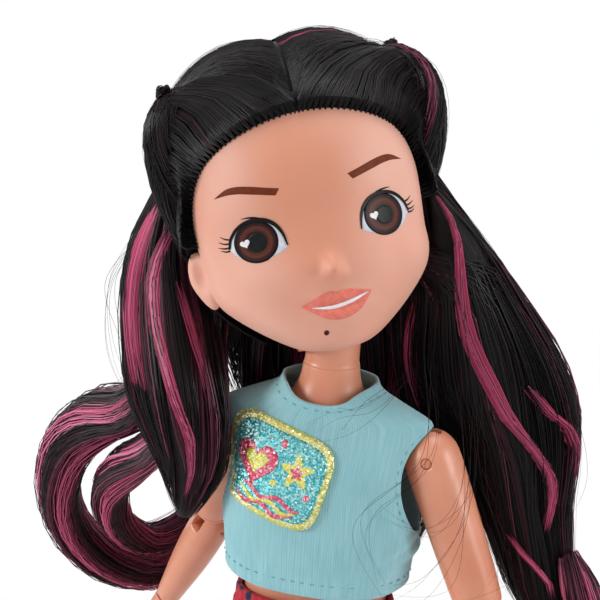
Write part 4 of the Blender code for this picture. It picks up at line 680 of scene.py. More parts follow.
def insideFace(point):
    # How far a point of the scalp lies inside the bare face, in mm; negative under the hair
    x, y, z = point
    x = abs(x)
    if y > 6.7:
        return -20.0
    if z < 1.4:
        return min(6.7 - y, 1.4 - z)
    nearest = min(hairShape["line"], key=lambda row: abs(row[0] - x) + abs(row[2] - z))
    k = hairShape["line"].index(nearest)
    a = Vector(hairShape["line"][max(k - 1, 0)])
    b = Vector(hairShape["line"][min(k + 1, len(hairShape["line"]) - 1)])
    run = (b - a).normalized()
    inward = run.cross(Vector((x, y, z - 6)).normalized())
    return (Vector((x, y, z)) - Vector(nearest)).dot(inward)


def hairCapMesh():
    shape = hairShape
    bm = bmesh.new()
    bmesh.ops.create_uvsphere(bm, u_segments=160, v_segments=120, radius=1)
    uv = bm.loops.layers.uv.new("flow")
    drop = []
    for vert in bm.verts:
        x, y, z = vert.co
        share = (z + 1) / 2
        width, middle, front, back = tableAt(shape["sections"], share)
        height = shape["bottom"] + share * (shape["top"] - shape["bottom"])
        around = hypot(x, y)
        c, s = (x / around, y / around) if around > 1e-5 else (0, 0)
        full = Vector((width * shape["width"] / 2 * c,
                       middle * shape["depth"] + (back if s > 0 else front) * shape["depth"] * s, height))
        skin = headSkin.find_nearest(full)[0]
        inside = insideFace(skin)
        lift = smoothstep(-0.8, -9.0, inside)
        dip = 0.9 * bellCurve(skin.x, 0.8) * smoothstep(14, 8, skin.y)  # the parting
        vert.co = skin.lerp(full, 0.1 + 0.84 * lift)
        vert.co -= (vert.co - Vector(shape["heart"])).normalized() * dip
        if inside > -0.9:
            drop.append(vert)
    for face in bm.faces:
        for corner in face.loops:
            corner[uv].uv = (atan2(corner.vert.co.y, corner.vert.co.z) / 6.3 + 0.5, corner.vert.co.x / 60)
    bmesh.ops.delete(bm, geom=drop, context="VERTS")
    return bm


def hairlineBand():
    # The rows of roots just behind the hairline, from ear to ear
    bm = stripMesh(320, 8)
    uv = bm.loops.layers.uv["flow"]
    heart = Vector((0, -22, 0))
    for vert in bm.verts:
        side = 1 if vert.co.x >= 0 else -1
        h, back = abs(vert.co.x), (vert.co.y + 1) / 2
        root, normal = hairlinePoint(h)
        ahead, past = hairlinePoint(min(h + 0.02, 1.0))[0], hairlinePoint(max(h - 0.02, 0.0))[0]
        away = (ahead - past).cross(normal).normalized()
        if away.dot(root - heart) < 0:
            away.negate()
        if h < 0.03:
            away.x *= h / 0.03
            away.normalize()
        skin, normal = headSkin.find_nearest(root + away * (0.35 + 4.0 * back))[:2]
        point = skin + normal * (0.02 + (1.0 - 0.7 * h) * smoothstep(0.0, 1.0, back * 1.2))
        vert.co = (point.x * side, point.y, point.z)
    for face in bm.faces:
        for corner in face.loops:
            corner[uv].uv = (corner.vert.co.x / 40 + 0.5, corner.vert.co.z / 60)
    faceOutwards(bm)
    bm.transform(headPlace)
    addPiece("hairlineBand", bm, massBlack, "head")


dice = random.Random(11)
hairlineBand()
rolls = {
    "left": ((20, -6, 30.5, 3), (24.3, -8, 27.5, 4.4), (26.3, -7, 23, 4.9), (26.8, -5, 18, 4.6),
             (26, -2, 12.5, 3.8), (25, 1, 7.5, 2.9), (24, 4, 3, 1.9)),
    "right": ((-18.5, -8, 30.5, 3), (-22.2, -9.6, 28.5, 4.5), (-24.4, -8.6, 24.6, 4.9), (-25.2, -6.2, 19.5, 4.4),
              (-25, -3, 13.5, 3.7), (-24.3, 0, 8, 2.9), (-23.4, 4, 3, 1.9))}


def tubeFrames(rows, steps):
    # Points, radii and cross directions along a path of x, y, z and radius
    found = [rowAt(rows, k / steps) for k in range(steps + 1)]
    points = [Vector(row[:3]) for row in found]
    side = Vector((1, 0, 0))
    frames = []
    for k, row in enumerate(found):
        ahead = (points[min(k + 1, steps)] - points[max(k - 1, 0)]).normalized()
        side = (side - ahead * side.dot(ahead)).normalized()
        frames.append((points[k], row[3], side.copy(), ahead.cross(side)))
    return frames


def tubeMass(rows, share, steps=24, count=24):
    rings = []
    for point, radius, side, up in tubeFrames(rows, steps):
        rings.append([
            point + (side * cos(2 * pi * i / count) + up * sin(2 * pi * i / count)) * radius * share
            for i in range(count)])
    return loftRings(rings)


capMesh = hairCapMesh()
dressed = capMesh.copy()
for rows in rolls.values():
    tube = bpy.data.meshes.new("rollForm")
    form = tubeMass(rows, 0.9)
    form.to_mesh(tube)
    form.free()
    dressed.from_mesh(tube)
    bpy.data.meshes.remove(tube)
dressedSkin = BVHTree.FromBMesh(dressed)
dressed.free()
for vert in capMesh.verts:
    vert.co -= (vert.co - Vector(hairShape["heart"])).normalized() * 0.5
bmesh.ops.solidify(capMesh, geom=capMesh.faces, thickness=0.3)
capMesh.transform(headPlace)
addPiece("hairCapMass", capMesh, massBlack, "head", ("hair_cap",))


def taper(t):
    return min(1.0, 0.45 + 6 * t) * max(1.0 - t, 0.0) ** 0.4 + 0.02


def outFromRows(rows, rise=0.0):
    # The direction away from a lock's own middle line
    middles = [Vector(rowAt(rows, k / 60)[:3]) for k in range(61)]

    def outward(point):
        near = min(middles, key=lambda middle: (middle - point).length_squared)
        away = point - near
        away.z *= rise
        return away if away.length > 1e-3 else Vector((0, -1, 0))
    return outward


def outFromHeart(point):
    return point - Vector(hairShape["heart"])


def straightened(points, slack=0.05):
    # Places that a hair passes in a straight line are left out
    kept, skipped = [points[0]], []
    for point, after in zip(points[1:], points[2:]):
        skipped.append(point)
        chord = (after - kept[-1]).normalized()
        if max((place - kept[-1]).cross(chord).length for place in skipped) > slack:
            kept.append(point)
            skipped = []
    return kept + [points[-1]]


def addStrands(name, strands, material, place, outward=outFromHeart):
    # Every hair is one tapering line of a curve, made a mesh with a tone and a length for each hair.
    # Its normals lean towards the outside of the lock, so that the light runs over a lock as one sheen.
    curve = bpy.data.curves.new(name, "CURVE")
    curve.dimensions = "3D"
    curve.bevel_depth = 1.0
    curve.bevel_resolution = 0
    shades, alongs, middles, leans = [], [], [], []
    spin = place.to_3x3().normalized()
    for path, radius, shade in strands:
        points = path[:1]
        for point in path[1:]:
            if (point - points[-1]).length > 0.02:
                points.append(point)
        if len(points) < 3:
            continue
        points = straightened(points)
        last = len(points) - 1
        line = curve.splines.new("POLY")
        line.points.add(last)
        for i, point in enumerate(points):
            line.points[i].co = (*(place @ point), 1)
            middles.append(tuple(place @ point))
            leans.append(tuple((spin @ outward(point)).normalized()))
            line.points[i].radius = radius * mm * taper(i / last)
            shades += [shade] * 4
            alongs += [i / last] * 4
    holder = bpy.data.objects.new(name + "Curve", curve)
    bpy.context.scene.collection.objects.link(holder)
    graph = bpy.context.evaluated_depsgraph_get()
    mesh = bpy.data.meshes.new_from_object(holder.evaluated_get(graph), depsgraph=graph)
    bpy.data.objects.remove(holder)
    mesh.name = name
    for key, values in (("strandShade", shades), ("strandAlong", alongs)):
        mesh.attributes.new(key, "FLOAT", "POINT").data.foreach_set("value", values)
    mesh.materials.clear()
    mesh.materials.append(material)
    mesh.shade_smooth()
    places = numpy.empty(len(mesh.vertices) * 3)
    mesh.vertices.foreach_get("co", places)
    rounds = places.reshape(-1, 3) - numpy.repeat(numpy.array(middles), 4, axis=0)
    rounds /= numpy.maximum(numpy.linalg.norm(rounds, axis=1, keepdims=True), 1e-9)
    leaning = 0.45 * rounds + 0.8 * numpy.repeat(numpy.array(leans), 4, axis=0)
    mesh.normals_split_custom_set_from_vertices(leaning / numpy.linalg.norm(leaning, axis=1, keepdims=True))
    piece = bpy.data.objects.new(name, mesh)
    bpy.context.scene.collection.objects.link(piece)
    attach(piece, "head")


def sweptStrand(keys, root, lift, steps=16):
    # A hair combed over the dressed head: each place is laid on the outermost hair in its direction
    heart = Vector(hairShape["heart"])
    aways, reaches = [], []
    for i in range(steps):
        place = Vector(rowAt(keys, i / (steps - 1)))
        away = (place - heart).normalized()
        hit = dressedSkin.ray_cast(heart + away * 90, -away)[0]
        aways.append(away)
        reaches.append((hit - heart).length if hit else (place - heart).length)
    for turn in range(5):
        reaches = [reaches[0]] + [max(b, (a + c) / 2) if turn < 4 else (a + 2 * b + c) / 4
                                  for a, b, c in zip(reaches, reaches[1:], reaches[2:])] + [reaches[-1]]
    points = [heart + away * (reach + lift * smoothstep(0.0, 0.25, i / (steps - 1)))
              for i, (away, reach) in enumerate(zip(aways, reaches))]
    if root:
        points[0] = root
        points[1] = points[1].lerp(root.lerp(points[2], 0.5), 0.4)
    return points


def flowKeys(table, h, side, jitter=0.0):
    # Key places for a hair that starts at share h of the table
    last = len(table) - 1
    position = min(max(h, 0.0), 1.0) * last
    i = min(int(position), last - 1)
    f = position - i
    shift = Vector((dice.gauss(0, jitter), dice.gauss(0, jitter), dice.gauss(0, jitter)))
    keys = []
    for n, (a, b) in enumerate(zip(table[i], table[i + 1])):
        point = Vector(a).lerp(Vector(b), f) + shift * min(1.0, n / 3)
        keys.append(Vector((point.x * side, point.y, point.z)))
    return keys


def fineness():
    return dice.uniform(*hairShape["fine"])


def pinkHere(kind, h, side):
    windows = {("parting", 1): ((0.35, 0.39), (0.61, 0.63)), ("parting", -1): ((0.49, 0.54),),
               ("front", -1): ((0.36, 0.42),), ("front", 1): ((0.52, 0.54),), ("back", 1): ((0.16, 0.28), (0.66, 0.74)),
               ("back", -1): ((0.40, 0.52),)}
    return any(low < h < high for low, high in windows.get((kind, side), ())) and dice.random() < 0.55


def combHair():
    combed = {"front": [], "parting": [], "back": [], "pink": [], "plum": []}
    for side in (-1, 1):
        # every plug of the hairline is a small bunch that fans out
        length = sum((Vector(b) - Vector(a)).length for a, b in zip(hairShape["line"], hairShape["line"][1:]))
        plugs = round(length / hairShape["plugGap"])
        for k in range(plugs):
            h = (k + 0.5) / plugs
            root, normal = hairlinePoint(h)
            root = Vector((root.x * side, root.y, root.z))
            normal = Vector((normal.x * side, normal.y, normal.z))
            shade = dice.uniform(0, 0.7)
            for n in range(hairShape["plugHairs"]):
                spread = h + dice.uniform(-0.8, 0.8) / plugs
                keys = flowKeys(flow["front"], spread, side, 0.35)
                ownRoot = hairlinePoint(min(max(spread, 0), 1))[0]
                ownRoot = Vector((ownRoot.x * side, ownRoot.y, ownRoot.z))
                keys = [root, ownRoot + (keys[0] - ownRoot).normalized() * 1.5] + keys
                start = root - normal * 0.15 + Vector((dice.uniform(-0.12, 0.12), 0, dice.uniform(-0.1, 0.1)))
                points = sweptStrand(keys, start, 0.25 + 0.55 * dice.random() ** 1.5, 13)
                shadeHere = min(max(shade + dice.uniform(-0.1, 0.3), 0), 1)
                combed["plum" if pinkHere("front", h, side) else "front"].append((points, fineness() * 1.15, shadeHere))
        for kind, count in (("parting", 740), ("back", 680)):
            for k in range(count):
                h = (k + dice.random()) / count
                keys = flowKeys(flow[kind], h, side, 0.45)
                points = sweptStrand(keys, None, 0.1 + 0.75 * dice.random() ** 1.5, 13)
                band = 0.5 + 0.5 * noise.noise(Vector((h * 26, side * 3.0, len(kind))))
                chosen = combed["pink" if pinkHere(kind, h, side) else kind]
                chosen.append((points, fineness(), 0.7 * band + dice.uniform(0, 0.3)))
    return combed


combed = combHair()
for name, kind, material in (("hairFront", "front", hairBlack), ("hairParting", "parting", hairBlack),
                             ("hairCrown", "back", hairBlack), ("hairCapPink", "pink", hairPink),
                             ("hairCapPlum", "plum", hairPlum)):
    addStrands(name, combed[kind], material, headPlace)
print("combed hair made")


def tubeStrands(rows, count, twist, steps=16, out=(0.9, 1.04), locks=None, loose=0.0, arc=(0.0, 2 * pi)):
    # Hairs round a path. With locks, they gather in that many bands that wind round it.
    frames = tubeFrames(rows, 80)
    strands = []
    for k in range(count):
        first, last = dice.uniform(0, 0.06), dice.uniform(0.86, 1)
        spread = dice.uniform(*out)
        begin = dice.uniform(*arc)
        lock = dice.randrange(locks) if locks else 0
        inner = dice.uniform(0, 2 * pi), sqrt(dice.random())
        sway = dice.uniform(0, 6.28), dice.uniform(0.0, 0.06)
        drift = dice.gauss(0, loose), dice.gauss(0, loose)
        points = []
        for i in range(steps):
            t = first + (last - first) * i / (steps - 1)
            j = min(int(t * 80), 79)
            f = t * 80 - j
            a, b = frames[j], frames[j + 1]
            point, size = a[0].lerp(b[0], f), a[1] + (b[1] - a[1]) * f
            side, up = a[2].lerp(b[2], f), a[3].lerp(b[3], f)
            if locks:
                turn = 2 * pi * lock / locks + twist * t
                tight = 0.40 + 0.08 * sin(7 * t + lock * 2.1)
                u = 0.60 * cos(turn) + tight * inner[1] * cos(inner[0] + twist * t)
                v = 0.60 * sin(turn) + tight * inner[1] * sin(inner[0] + twist * t)
            else:
                turn = begin + twist * t
                r = spread + sway[1] * sin(9 * t + sway[0])
                u, v = r * cos(turn), r * sin(turn)
            u += drift[0] * t * t + sway[1] * sin(14 * t + sway[0])
            v += drift[1] * t * t
            points.append(point + (side * u + up * v) * size)
        shade = 0.55 * (0.5 + 0.5 * sin(lock * 2.3)) + dice.uniform(0, 0.45) if locks else dice.uniform(0, 1)
        strands.append((points, fineness(), shade))
    return strands


for word, rows in rolls.items():
    side = 1 if word == "left" else -1
    mass = tubeMass(rows, 0.86)
    mass.transform(headPlace)
    addPiece(f"hairRollMass_{word}", mass, massBlack, "head", (f"hair_roll_{word}",))
    strands = tubeStrands(rows, 280, side * 3, 14, (0.86, 1.0))
    addStrands(f"hairRollBlack_{word}", strands, hairBlack, headPlace, outFromRows(rows, 1.0))
    strands = tubeStrands(rows, 40, side * 3, out=(0.97, 1.03), arc=(0.4, 0.9))
    addStrands(f"hairRollPlum_{word}", strands, hairPlum, headPlace)
    ring = bmesh.new()
    start, ahead = Vector(rows[0][:3]), (Vector(rows[0][:3]) - Vector(rows[1][:3])).normalized()
    bmesh.ops.create_circle(ring, segments=12, radius=0.6,
                            matrix=Matrix.Translation((2.0, 0, 0)) @ Matrix.Rotation(pi / 2, 4, "X"))
    bmesh.ops.spin(ring, geom=ring.verts[:] + ring.edges[:], cent=(0, 0, 0), axis=(0, 0, 1), angle=2 * pi,
                   steps=32, use_merge=True)
    bmesh.ops.remove_doubles(ring, verts=ring.verts, dist=1e-4)
    faceOutwards(ring)
    turned = ahead.to_track_quat("Z", "Y").to_matrix().to_4x4()
    ring.transform(headPlace @ Matrix.Translation(start - ahead) @ turned)
    addPiece(f"hairTie_{word}", ring, inkBlack, "head", (f"hair_tie_{word}",))


def addKnot(word, place):
    # The small twist where the lock is gathered at the top
    heart = Vector(hairShape["heart"])
    away = (Vector(place) - heart).normalized()
    hit = dressedSkin.ray_cast(heart + away * 90, -away)[0]
    along = away.cross(Vector((0, 1, 0))).normalized()
    across = away.cross(along)
    strands = []
    for k in range(110):
        phase, size, turns = dice.uniform(0, 6.28), dice.uniform(0.4, 1.9), dice.uniform(2.5, 6.5)
        tilt = Vector((dice.gauss(0, 0.25), dice.gauss(0, 0.25), 0))
        points = []
        for n in range(14):
            angle, r = phase + turns * n / 13, size * (1 - 0.35 * n / 13)
            rise = 0.5 + 1.1 * (1 - size / 2.0) + 0.5 * sin(n * 0.5 + phase)
            rise += tilt.x * cos(angle) + tilt.y * sin(angle)
            points.append(hit + along * (r * cos(angle)) + across * (r * sin(angle)) + away * rise)
        strands.append((points, fineness() * 0.9, dice.random()))
    addStrands(f"hairKnot_{word}", strands, hairBlack, headPlace)


for word, place in (("left", (22.5, -5.5, 31.5)), ("right", (-20.8, -8.5, 29.3))):
    addKnot(word, place)
print("rolls made")

falls = {
    "right": {
        "rows": ((-33.5, 12, 262, 2.6, 4, -0.2), (-38, 12, 251, 6, 5.6, -0.2), (-39.2, 9, 241, 8.8, 6.2, -0.2),
                 (-36.6, 3, 231, 11.6, 5.5, -0.25), (-33.4, -3, 222, 12.8, 4.6, -0.3),
                 (-30.5, -7.5, 214, 13, 3.8, -0.3),
                 (-28, -9, 206, 11, 3.3, -0.3), (-26.5, -8.5, 199, 8, 3, -0.3), (-27, -7, 192, 4.5, 2.6, -0.3),
                 (-28, -5, 187, 2, 1.6, -0.3)),
        "plum": 0.3,
        "locks": (  # z and place across from -1 to 1, then the half width of the lock and its hairs
            (((255, -0.1), (248, -0.34), (244, -0.39), (240, -0.43), (235, -0.5), (228, -0.55), (222, -0.55),
              (214, -0.5)), 0.2, 210),
            (((249, 0.5), (244, 0.26), (241, 0.14), (237.6, 0.02), (234, -0.06), (227.5, -0.04), (220.7, 0.09),
              (213.6, 0.2), (207, 0.36), (199.7, 0.32), (193, 0.2)), 0.11, 150),
            (((236, 0.5), (229.5, 0.61), (226, 0.66), (222, 0.74), (214, 0.8)), 0.05, 30))},
    "left": {
        "rows": ((15.5, 12, 259, 3.6, 4.2, 0.3), (20, 13, 250, 6.6, 5.6, 0.3), (24, 13.5, 239, 11, 6.2, 0.2),
                 (28.5, 13.5, 227, 16, 6, 0.1), (32, 13.3, 216, 17.8, 5.5, 0), (36.5, 13.2, 206, 14, 5.4, 0),
                 (39.5, 13, 196, 10.5, 5.2, 0), (42.5, 13, 186, 8.8, 4.8, 0), (45, 13, 177, 7.2, 4.2, 0),
                 (48, 12.5, 169, 4, 3, 0)),
        "plum": 0.38,
        "locks": (
            (((259, 0.1), (255.7, 0.27), (251.7, 0.17), (246.7, 0.01), (241.5, -0.07), (234.7, -0.13), (231, -0.11),
              (225.3, -0.02), (219.8, 0.1), (214, 0.2), (209.9, 0.38), (205.7, 0.55), (202.2, 0.66), (197.4, 0.69),
              (191, 0.51)), 0.085, 170),
            (((236, -0.9), (229.4, -0.93), (223.5, -0.92), (216.5, -0.87), (210.5, -0.95)), 0.04, 26),
            (((222, 0.5), (216.7, 0.68), (213.9, 0.85), (209.9, 0.93), (205.6, 0.95), (200, 0.93)), 0.06, 46),
            (((190, -0.4), (185.7, -0.09), (183.6, 0.13), (180, 0.44), (175, 0.5)), 0.12, 50))},
    "back": {
        "rows": ((-9, 26, 252, 17, 4, 0), (-5.5, 26, 240, 23, 5.4, 0), (-3, 25, 228, 25, 6, 0),
                 (-0.5, 24, 214, 24.5, 6, 0), (0.5, 23.5, 200, 22, 5.6, 0), (1, 24, 186, 18, 5, 0),
                 (1, 24.5, 174, 13, 4, 0),
                 (1, 25, 164, 6, 2.6, 0)),
        "plum": 0.22,
        "locks": ((((240, -0.5), (220, -0.4), (200, -0.5), (175, -0.3)), 0.07, 60),
                  (((245, 0.35), (225, 0.5), (205, 0.4), (180, 0.55)), 0.08, 70))},
}
fallLook = {"hairs": 1120, "bands": 40, "steps": 14}


def fallPoint(rows, t, across, depth, out):
    x, y, z, halfWidth, halfDepth, turn = rowAt(rows, t)
    u, v = across * halfWidth * out, depth * halfDepth * out
    return Vector((x + u * cos(turn) - v * sin(turn), y + u * sin(turn) + v * cos(turn), z))


def heightShare(rows, z):
    low, high = 0.0, 1.0
    for k in range(24):
        middle = (low + high) / 2
        if rowAt(rows, middle)[2] > z:
            low = middle
        else:
            high = middle
    return (low + high) / 2


def fallMass(rows, share, count=36, steps=36):
    rings = []
    for k in range(steps + 1):
        rings.append([
            fallPoint(rows, k / steps, cos(2 * pi * i / count), sin(2 * pi * i / count),
                      share * (1 + 0.03 * sin(5 * i)) * (0.6 + 0.4 * smoothstep(0, 0.12, k / steps)))
            for i in range(count)])
    return loftRings(rings)


toHead = headPlace.inverted() @ bodyPlace


def hairRoot(point):
    # Where a loose hair leaves the combed hair, on the body's axes
    heart = Vector(hairShape["heart"])
    local = toHead @ (point + Vector((0, 0, 5)))
    away = (local - heart).normalized()
    hit = dressedSkin.ray_cast(heart + away * 90, -away)[0]
    return toHead.inverted() @ ((hit if hit else local) + away * 0.2)


def guideAt(guide, z):
    for (za, a), (zb, b) in zip(guide, guide[1:]):
        if z >= zb:
            return a + (b - a) * min(max((za - z) / (za - zb), 0), 1)
    return guide[-1][1]


def fallStrands(fall):
    rows = fall["rows"]
    black, plum, pink = [], [], []
    bands = fallLook["bands"]
    phases = [dice.uniform(0, 6.28) for k in range(bands)]
    shades = [dice.random() for k in range(bands)]
    plums = [dice.random() < fall["plum"] for k in range(bands)]
    for k in range(fallLook["hairs"]):
        band = dice.randrange(bands)
        centre = 2 * pi * (band + 0.5) / bands
        offset = dice.uniform(-0.75, 0.75) * 2 * pi / bands
        out = dice.choice((dice.uniform(0.7, 0.9), dice.uniform(0.9, 1.0), dice.uniform(0.94, 1.05)))
        first, last = dice.uniform(0.0, 0.06), dice.uniform(0.70, 1.0)
        wild = dice.random() < 0.04
        stray = dice.uniform(-0.7, 0.7) if wild else 0.0
        points = []
        root = None
        for i in range(fallLook["steps"]):
            t = first + (last - first) * i / (fallLook["steps"] - 1)
            angle = (centre + offset * (1 - 0.5 * t) + 0.10 * sin(6 * t + phases[band])
                     + 0.25 * t * sin(phases[band]) + stray * t * t)
            swell = out + 0.04 * sin(11 * t + phases[band] * 2) + (0.10 * t * sin(7 * t + phases[band]) if wild else 0)
            point = fallPoint(rows, t, cos(angle), sin(angle), swell)
            if root is None:
                root = hairRoot(point)
            points.append(root.lerp(point, smoothstep(-0.02, 0.16, t - first)) if t - first < 0.16 else point)
        target = plum if (plums[band] and dice.random() < 0.7) or dice.random() < 0.05 else black
        shade = min(max(shades[band] * 0.6 + dice.uniform(0, 0.4), 0), 1)
        target.append((points, fineness() * (0.45 if wild else 1.05), shade))
    for guide, halfWidth, count in fall["locks"]:
        first, last = heightShare(rows, guide[0][0]), heightShare(rows, guide[-1][0])
        for k in range(count):
            shift = dice.uniform(-1, 1)
            lift = 1.0 + 0.06 * sqrt(1 - shift * shift) + dice.uniform(-0.05, 0.02)
            late = dice.uniform(-0.03, 0.03)
            begin, stop = first + dice.uniform(0, 0.04), last - dice.uniform(0, 0.10)
            points = []
            for i in range(16):
                t = begin + (stop - begin) * i / 15
                z = rowAt(rows, t)[2]
                across = guideAt(guide, z) + shift * halfWidth * (1 + 0.25 * sin(4 * t + 1))
                across += late * sin(9 * t + 2)
                across = min(max(across, -0.999), 0.999)
                points.append(fallPoint(rows, t, across, -sqrt(1 - across * across), lift))
            # painted light and shade: hairs in the middle of a pink lock get lighter tones, and those at its edges
            # darker ones that are more often plum, as the sheen across a round lock; the tone also varies at random
            shade = min(max(0.5 - 0.35 * abs(shift) + dice.uniform(-0.3, 0.35), 0), 1)
            (plum if dice.random() < 0.16 + 0.2 * abs(shift) else pink).append((points, fineness() * 1.1, shade))
    return black, plum, pink


for word, fall in falls.items():
    mass = fallMass(fall["rows"], 0.8)
    mass.transform(bodyPlace)
    addPiece(f"hairFallMass_{word}", mass, massBlack, "head", (f"hair_fall_{word}",))
    out = outFromRows(fall["rows"], 0.6)
    for tint, strands, material in zip(("Black", "Plum", "Pink"), fallStrands(fall), (hairBlack, hairPlum, hairPink)):
        addStrands(f"hairFall{tint}_{word}", strands, material, bodyPlace, out)
print("hanging hair made")

curls = {
    "right": {"rows": ((-38, -3, 214, 3), (-44.5, 5, 205.5, 5.2), (-56, 16, 198.5, 6.4), (-65, 22, 189, 6.2),
                       (-68.5, 26, 176, 5.6), (-66.5, 30, 165, 5.3), (-59.5, 36, 156.5, 5.3), (-50, 42, 153.5, 4.8),
                       (-42.5, 45, 159, 4), (-40, 45, 168, 2.4)), "twist": 2.2},
    "inner": {"rows": ((-33, -6, 206, 2.4), (-39.5, 3, 197.5, 4), (-48, 15, 189, 4.8), (-54.5, 21.5, 180, 4.6),
                       (-54.5, 27, 170, 4.2), (-49, 34.5, 164, 4), (-42, 38.5, 168, 3.4), (-38.5, 37, 176, 2.2)),
                       "twist": 2.8},
    "left": {"rows": ((50, 12, 186, 2.5), (54, 11.5, 178, 4.4), (59, 11.5, 168, 5.4), (65, 12, 159, 5.4),
                      (70.5, 13, 152, 4.6), (73, 14, 148, 2.4)), "twist": 2},
}
for word, curl in curls.items():
    rows, twist = curl["rows"], curl["twist"]
    mass = tubeMass(rows, 0.34)
    mass.transform(bodyPlace)
    addPiece(f"hairCurlMass_{word}", mass, massPlum, "head", (f"hair_curl_{word}",))
    out = outFromRows(rows, 1.0)
    for tint, material, count, more, locks, loose in (
            ("Plum", hairPlum, 340, 0, 5, 0.12), ("Pink", hairPink, 170, 0.5, 3, 0.12),
            ("Black", hairBlack, 210, -0.4, 4, 0.15)):
        strands = tubeStrands(rows, count, twist + more, 18, locks=locks, loose=loose)
        addStrands(f"hairCurl{tint}_{word}", strands, material, bodyPlace, out)
print("curls made")

# Thin locks beside the neck, and single hairs that have come loose: x, y and z on the body's axes, then radius
looseLocks = {
    "jawRight": ((-25, 5, 237, 3.4), (-24.2, 8.5, 229.5, 4.6), (-22.8, 11.5, 221.5, 5), (-20.5, 14.5, 213, 4.8),
                 (-18, 17, 204, 4)),
    "napeRight": ((-19.5, 10, 233, 3), (-19, 8.5, 224, 3.4), (-18.5, 9.5, 214, 3.4), (-18, 13, 203, 3),
                  (-17, 15, 192, 1.6)),
    "innerRight": ((-26, 2, 232, 2.6), (-24.5, -3, 222, 2.8), (-23.5, -7.5, 212, 2.4), (-23, -10.5, 203, 1.8),
                   (-24, -11, 194, 1)),
    "napeLeft": ((9, 20, 236, 3.2), (11.5, 17, 226, 3.6), (14.5, 15, 216, 3.6), (18, 14, 205, 3.2),
                 (20.5, 14, 192, 1.8)),
}
for word, rows in looseLocks.items():
    out = outFromRows(rows)
    for name, material, count, spread in (("hairLock", hairBlack, 200, (0.1, 1.0)),
                                          ("hairLockPlum", hairPlum, 55, (0.3, 1.05))):
        addStrands(f"{name}_{word}", tubeStrands(rows, count, 1, 12, spread, loose=0.2), material, bodyPlace, out)

strayRuns = (  # start, two places on the way, end, how far they scatter and how many
    ((20, 0, 228), (23, -10, 210), (12, -15, 196), (20, -15, 182), 1.8, 4),
    ((26, 4, 222), (31, -9, 206), (26, -13, 196), (10, -15, 199), 1.6, 4),
    ((28, 4, 220), (32, -8, 200), (28, -12, 184), (18, -14, 180), 1.8, 4),
    ((30, 4, 220), (36, -7, 203), (40, -8, 190), (35, -6, 176), 1.8, 4),
    ((18, 4, 224), (10, -9, 218), (4, -10, 214), (-4, -11, 208), 1.4, 5),
    ((-44, 8, 246), (-51, 6, 232), (-47, 2, 218), (-41, 0, 206), 1.2, 6),
    ((-40, 2, 220), (-50, 12, 208), (-58, 22, 196), (-62, 28, 182), 1.0, 3),
    ((-58, 22, 198), (-69, 26, 184), (-66, 30, 170), (-56, 36, 160), 0.8, 4),
    ((40, 10, 232), (48, 9, 218), (50, 9, 204), (48, 11, 188), 1.0, 6),
    ((46, 12, 200), (49, 12, 186), (56, 12, 172), (64, 13, 160), 1.1, 5),
    ((-20, 34, 250), (-16, 34, 230), (-10, 32, 210), (-6, 31, 185), 1.6, 8),
    ((10, 33, 245), (14, 32, 225), (12, 31, 205), (12, 30, 180), 1.6, 8),
)


def strayHairs():
    hairs = []
    for a, b, c, d, scatter, count in strayRuns:
        for k in range(count):
            keys = [Vector(point) + Vector([dice.gauss(0, scatter * size) for axis in range(3)])
                    for point, size in zip((a, b, c, d), (0.5, 0.8, 1.0, 1.2))]
            hairs.append(([Vector(rowAt(keys, n / 23)) for n in range(24)], dice.uniform(0.03, 0.045), dice.random()))
    return hairs


def crownFlyaways():
    hairs = []
    for k in range(90):
        side = dice.choice((-1, 1))
        kind = dice.choice(("front", "parting", "parting", "back"))
        keys = flowKeys(flow[kind], dice.random(), side, 1.6)
        lift = dice.uniform(0.5, 1.4)
        hairs.append((sweptStrand(keys, None, lift, 20), dice.uniform(0.03, 0.05), dice.uniform(0.5, 1.0)))
    return hairs


addStrands("hairStrays", strayHairs(), hairBlack, bodyPlace, lambda point: Vector((0, -1, 0.3)))
addStrands("hairFlyaways", crownFlyaways(), hairBlack, headPlace)
print("loose hairs made")


# Crop top

topShape = {
    "hem": 176.8, "armholeZ": 201.6, "armholeHalf": (7.2, 11.2), "neckDip": 4, "thickness": 0.8, "edge": 220.6,
    "sideLift": 2,
    "sections": (  # height, half width, front depth, back depth and roundness
        (176.8, 19.3, 12.58, 12.05, 2.2), (185.23, 20.3, 13.36, 12.31, 2.2), (192.82, 20.9, 13.76, 12.58, 2.2),
        (200.42, 20.7, 13.36, 12.45, 2.2), (206.32, 21.2, 11.79, 11.66, 2.2), (210.54, 21.95, 9.96, 10.48, 2.15),
        (213.49, 21.6, 8.45, 9.2, 2.1), (214.75, 19.36, 8.51, 9.02, 2), (216.44, 15.54, 8.71, 8.79, 2),
        (217.92, 12.3, 8.9, 8.6, 2), (218.97, 10.7, 9.05, 8.55, 2), (220.6, 9.9, 8.9, 8.45, 2)),
    "rows": 96, "columns": 104, "hemStitch": 3, "neckStitch": 1.4, "armStitch": 1.3,
    "folds": (  # from and to, each as the share across (1 at the side seam) and the height, then width and rise
        ((0.97, 189.5), (0.62, 184), 1, 0.55), ((0.99, 187), (0.7, 180.5), 0.9, 0.45),
        ((0.93, 191.5), (0.55, 190), 0.8, 0.35), ((0.6, 212.5), (0.3, 207), 0.9, 0.25),
        ((-0.97, 189), (-0.7, 182), 1, 0.5), ((-0.95, 191), (-0.72, 187.5), 0.8, 0.35),
        ((-0.66, 212), (-0.42, 208.5), 0.9, 0.2), ((0.42, 180), (0.3, 177.5), 1.4, 0.3),
        ((-0.35, 181), (-0.42, 177), 1.5, 0.35), ((0.98, 186), (0.8, 193), 1.3, 0.8),
        ((0.16, 205), (0.55, 199), 1.1, 0.4), ((0.9, 183), (0.52, 179.5), 1.2, 0.6)),
}
badgeShape = {"x": -7.9, "z": 202.5, "width": 24.6, "height": 19.6, "tilt": 13.0, "border": 1.3, "power": 4.6,
              "motif": 1.17}


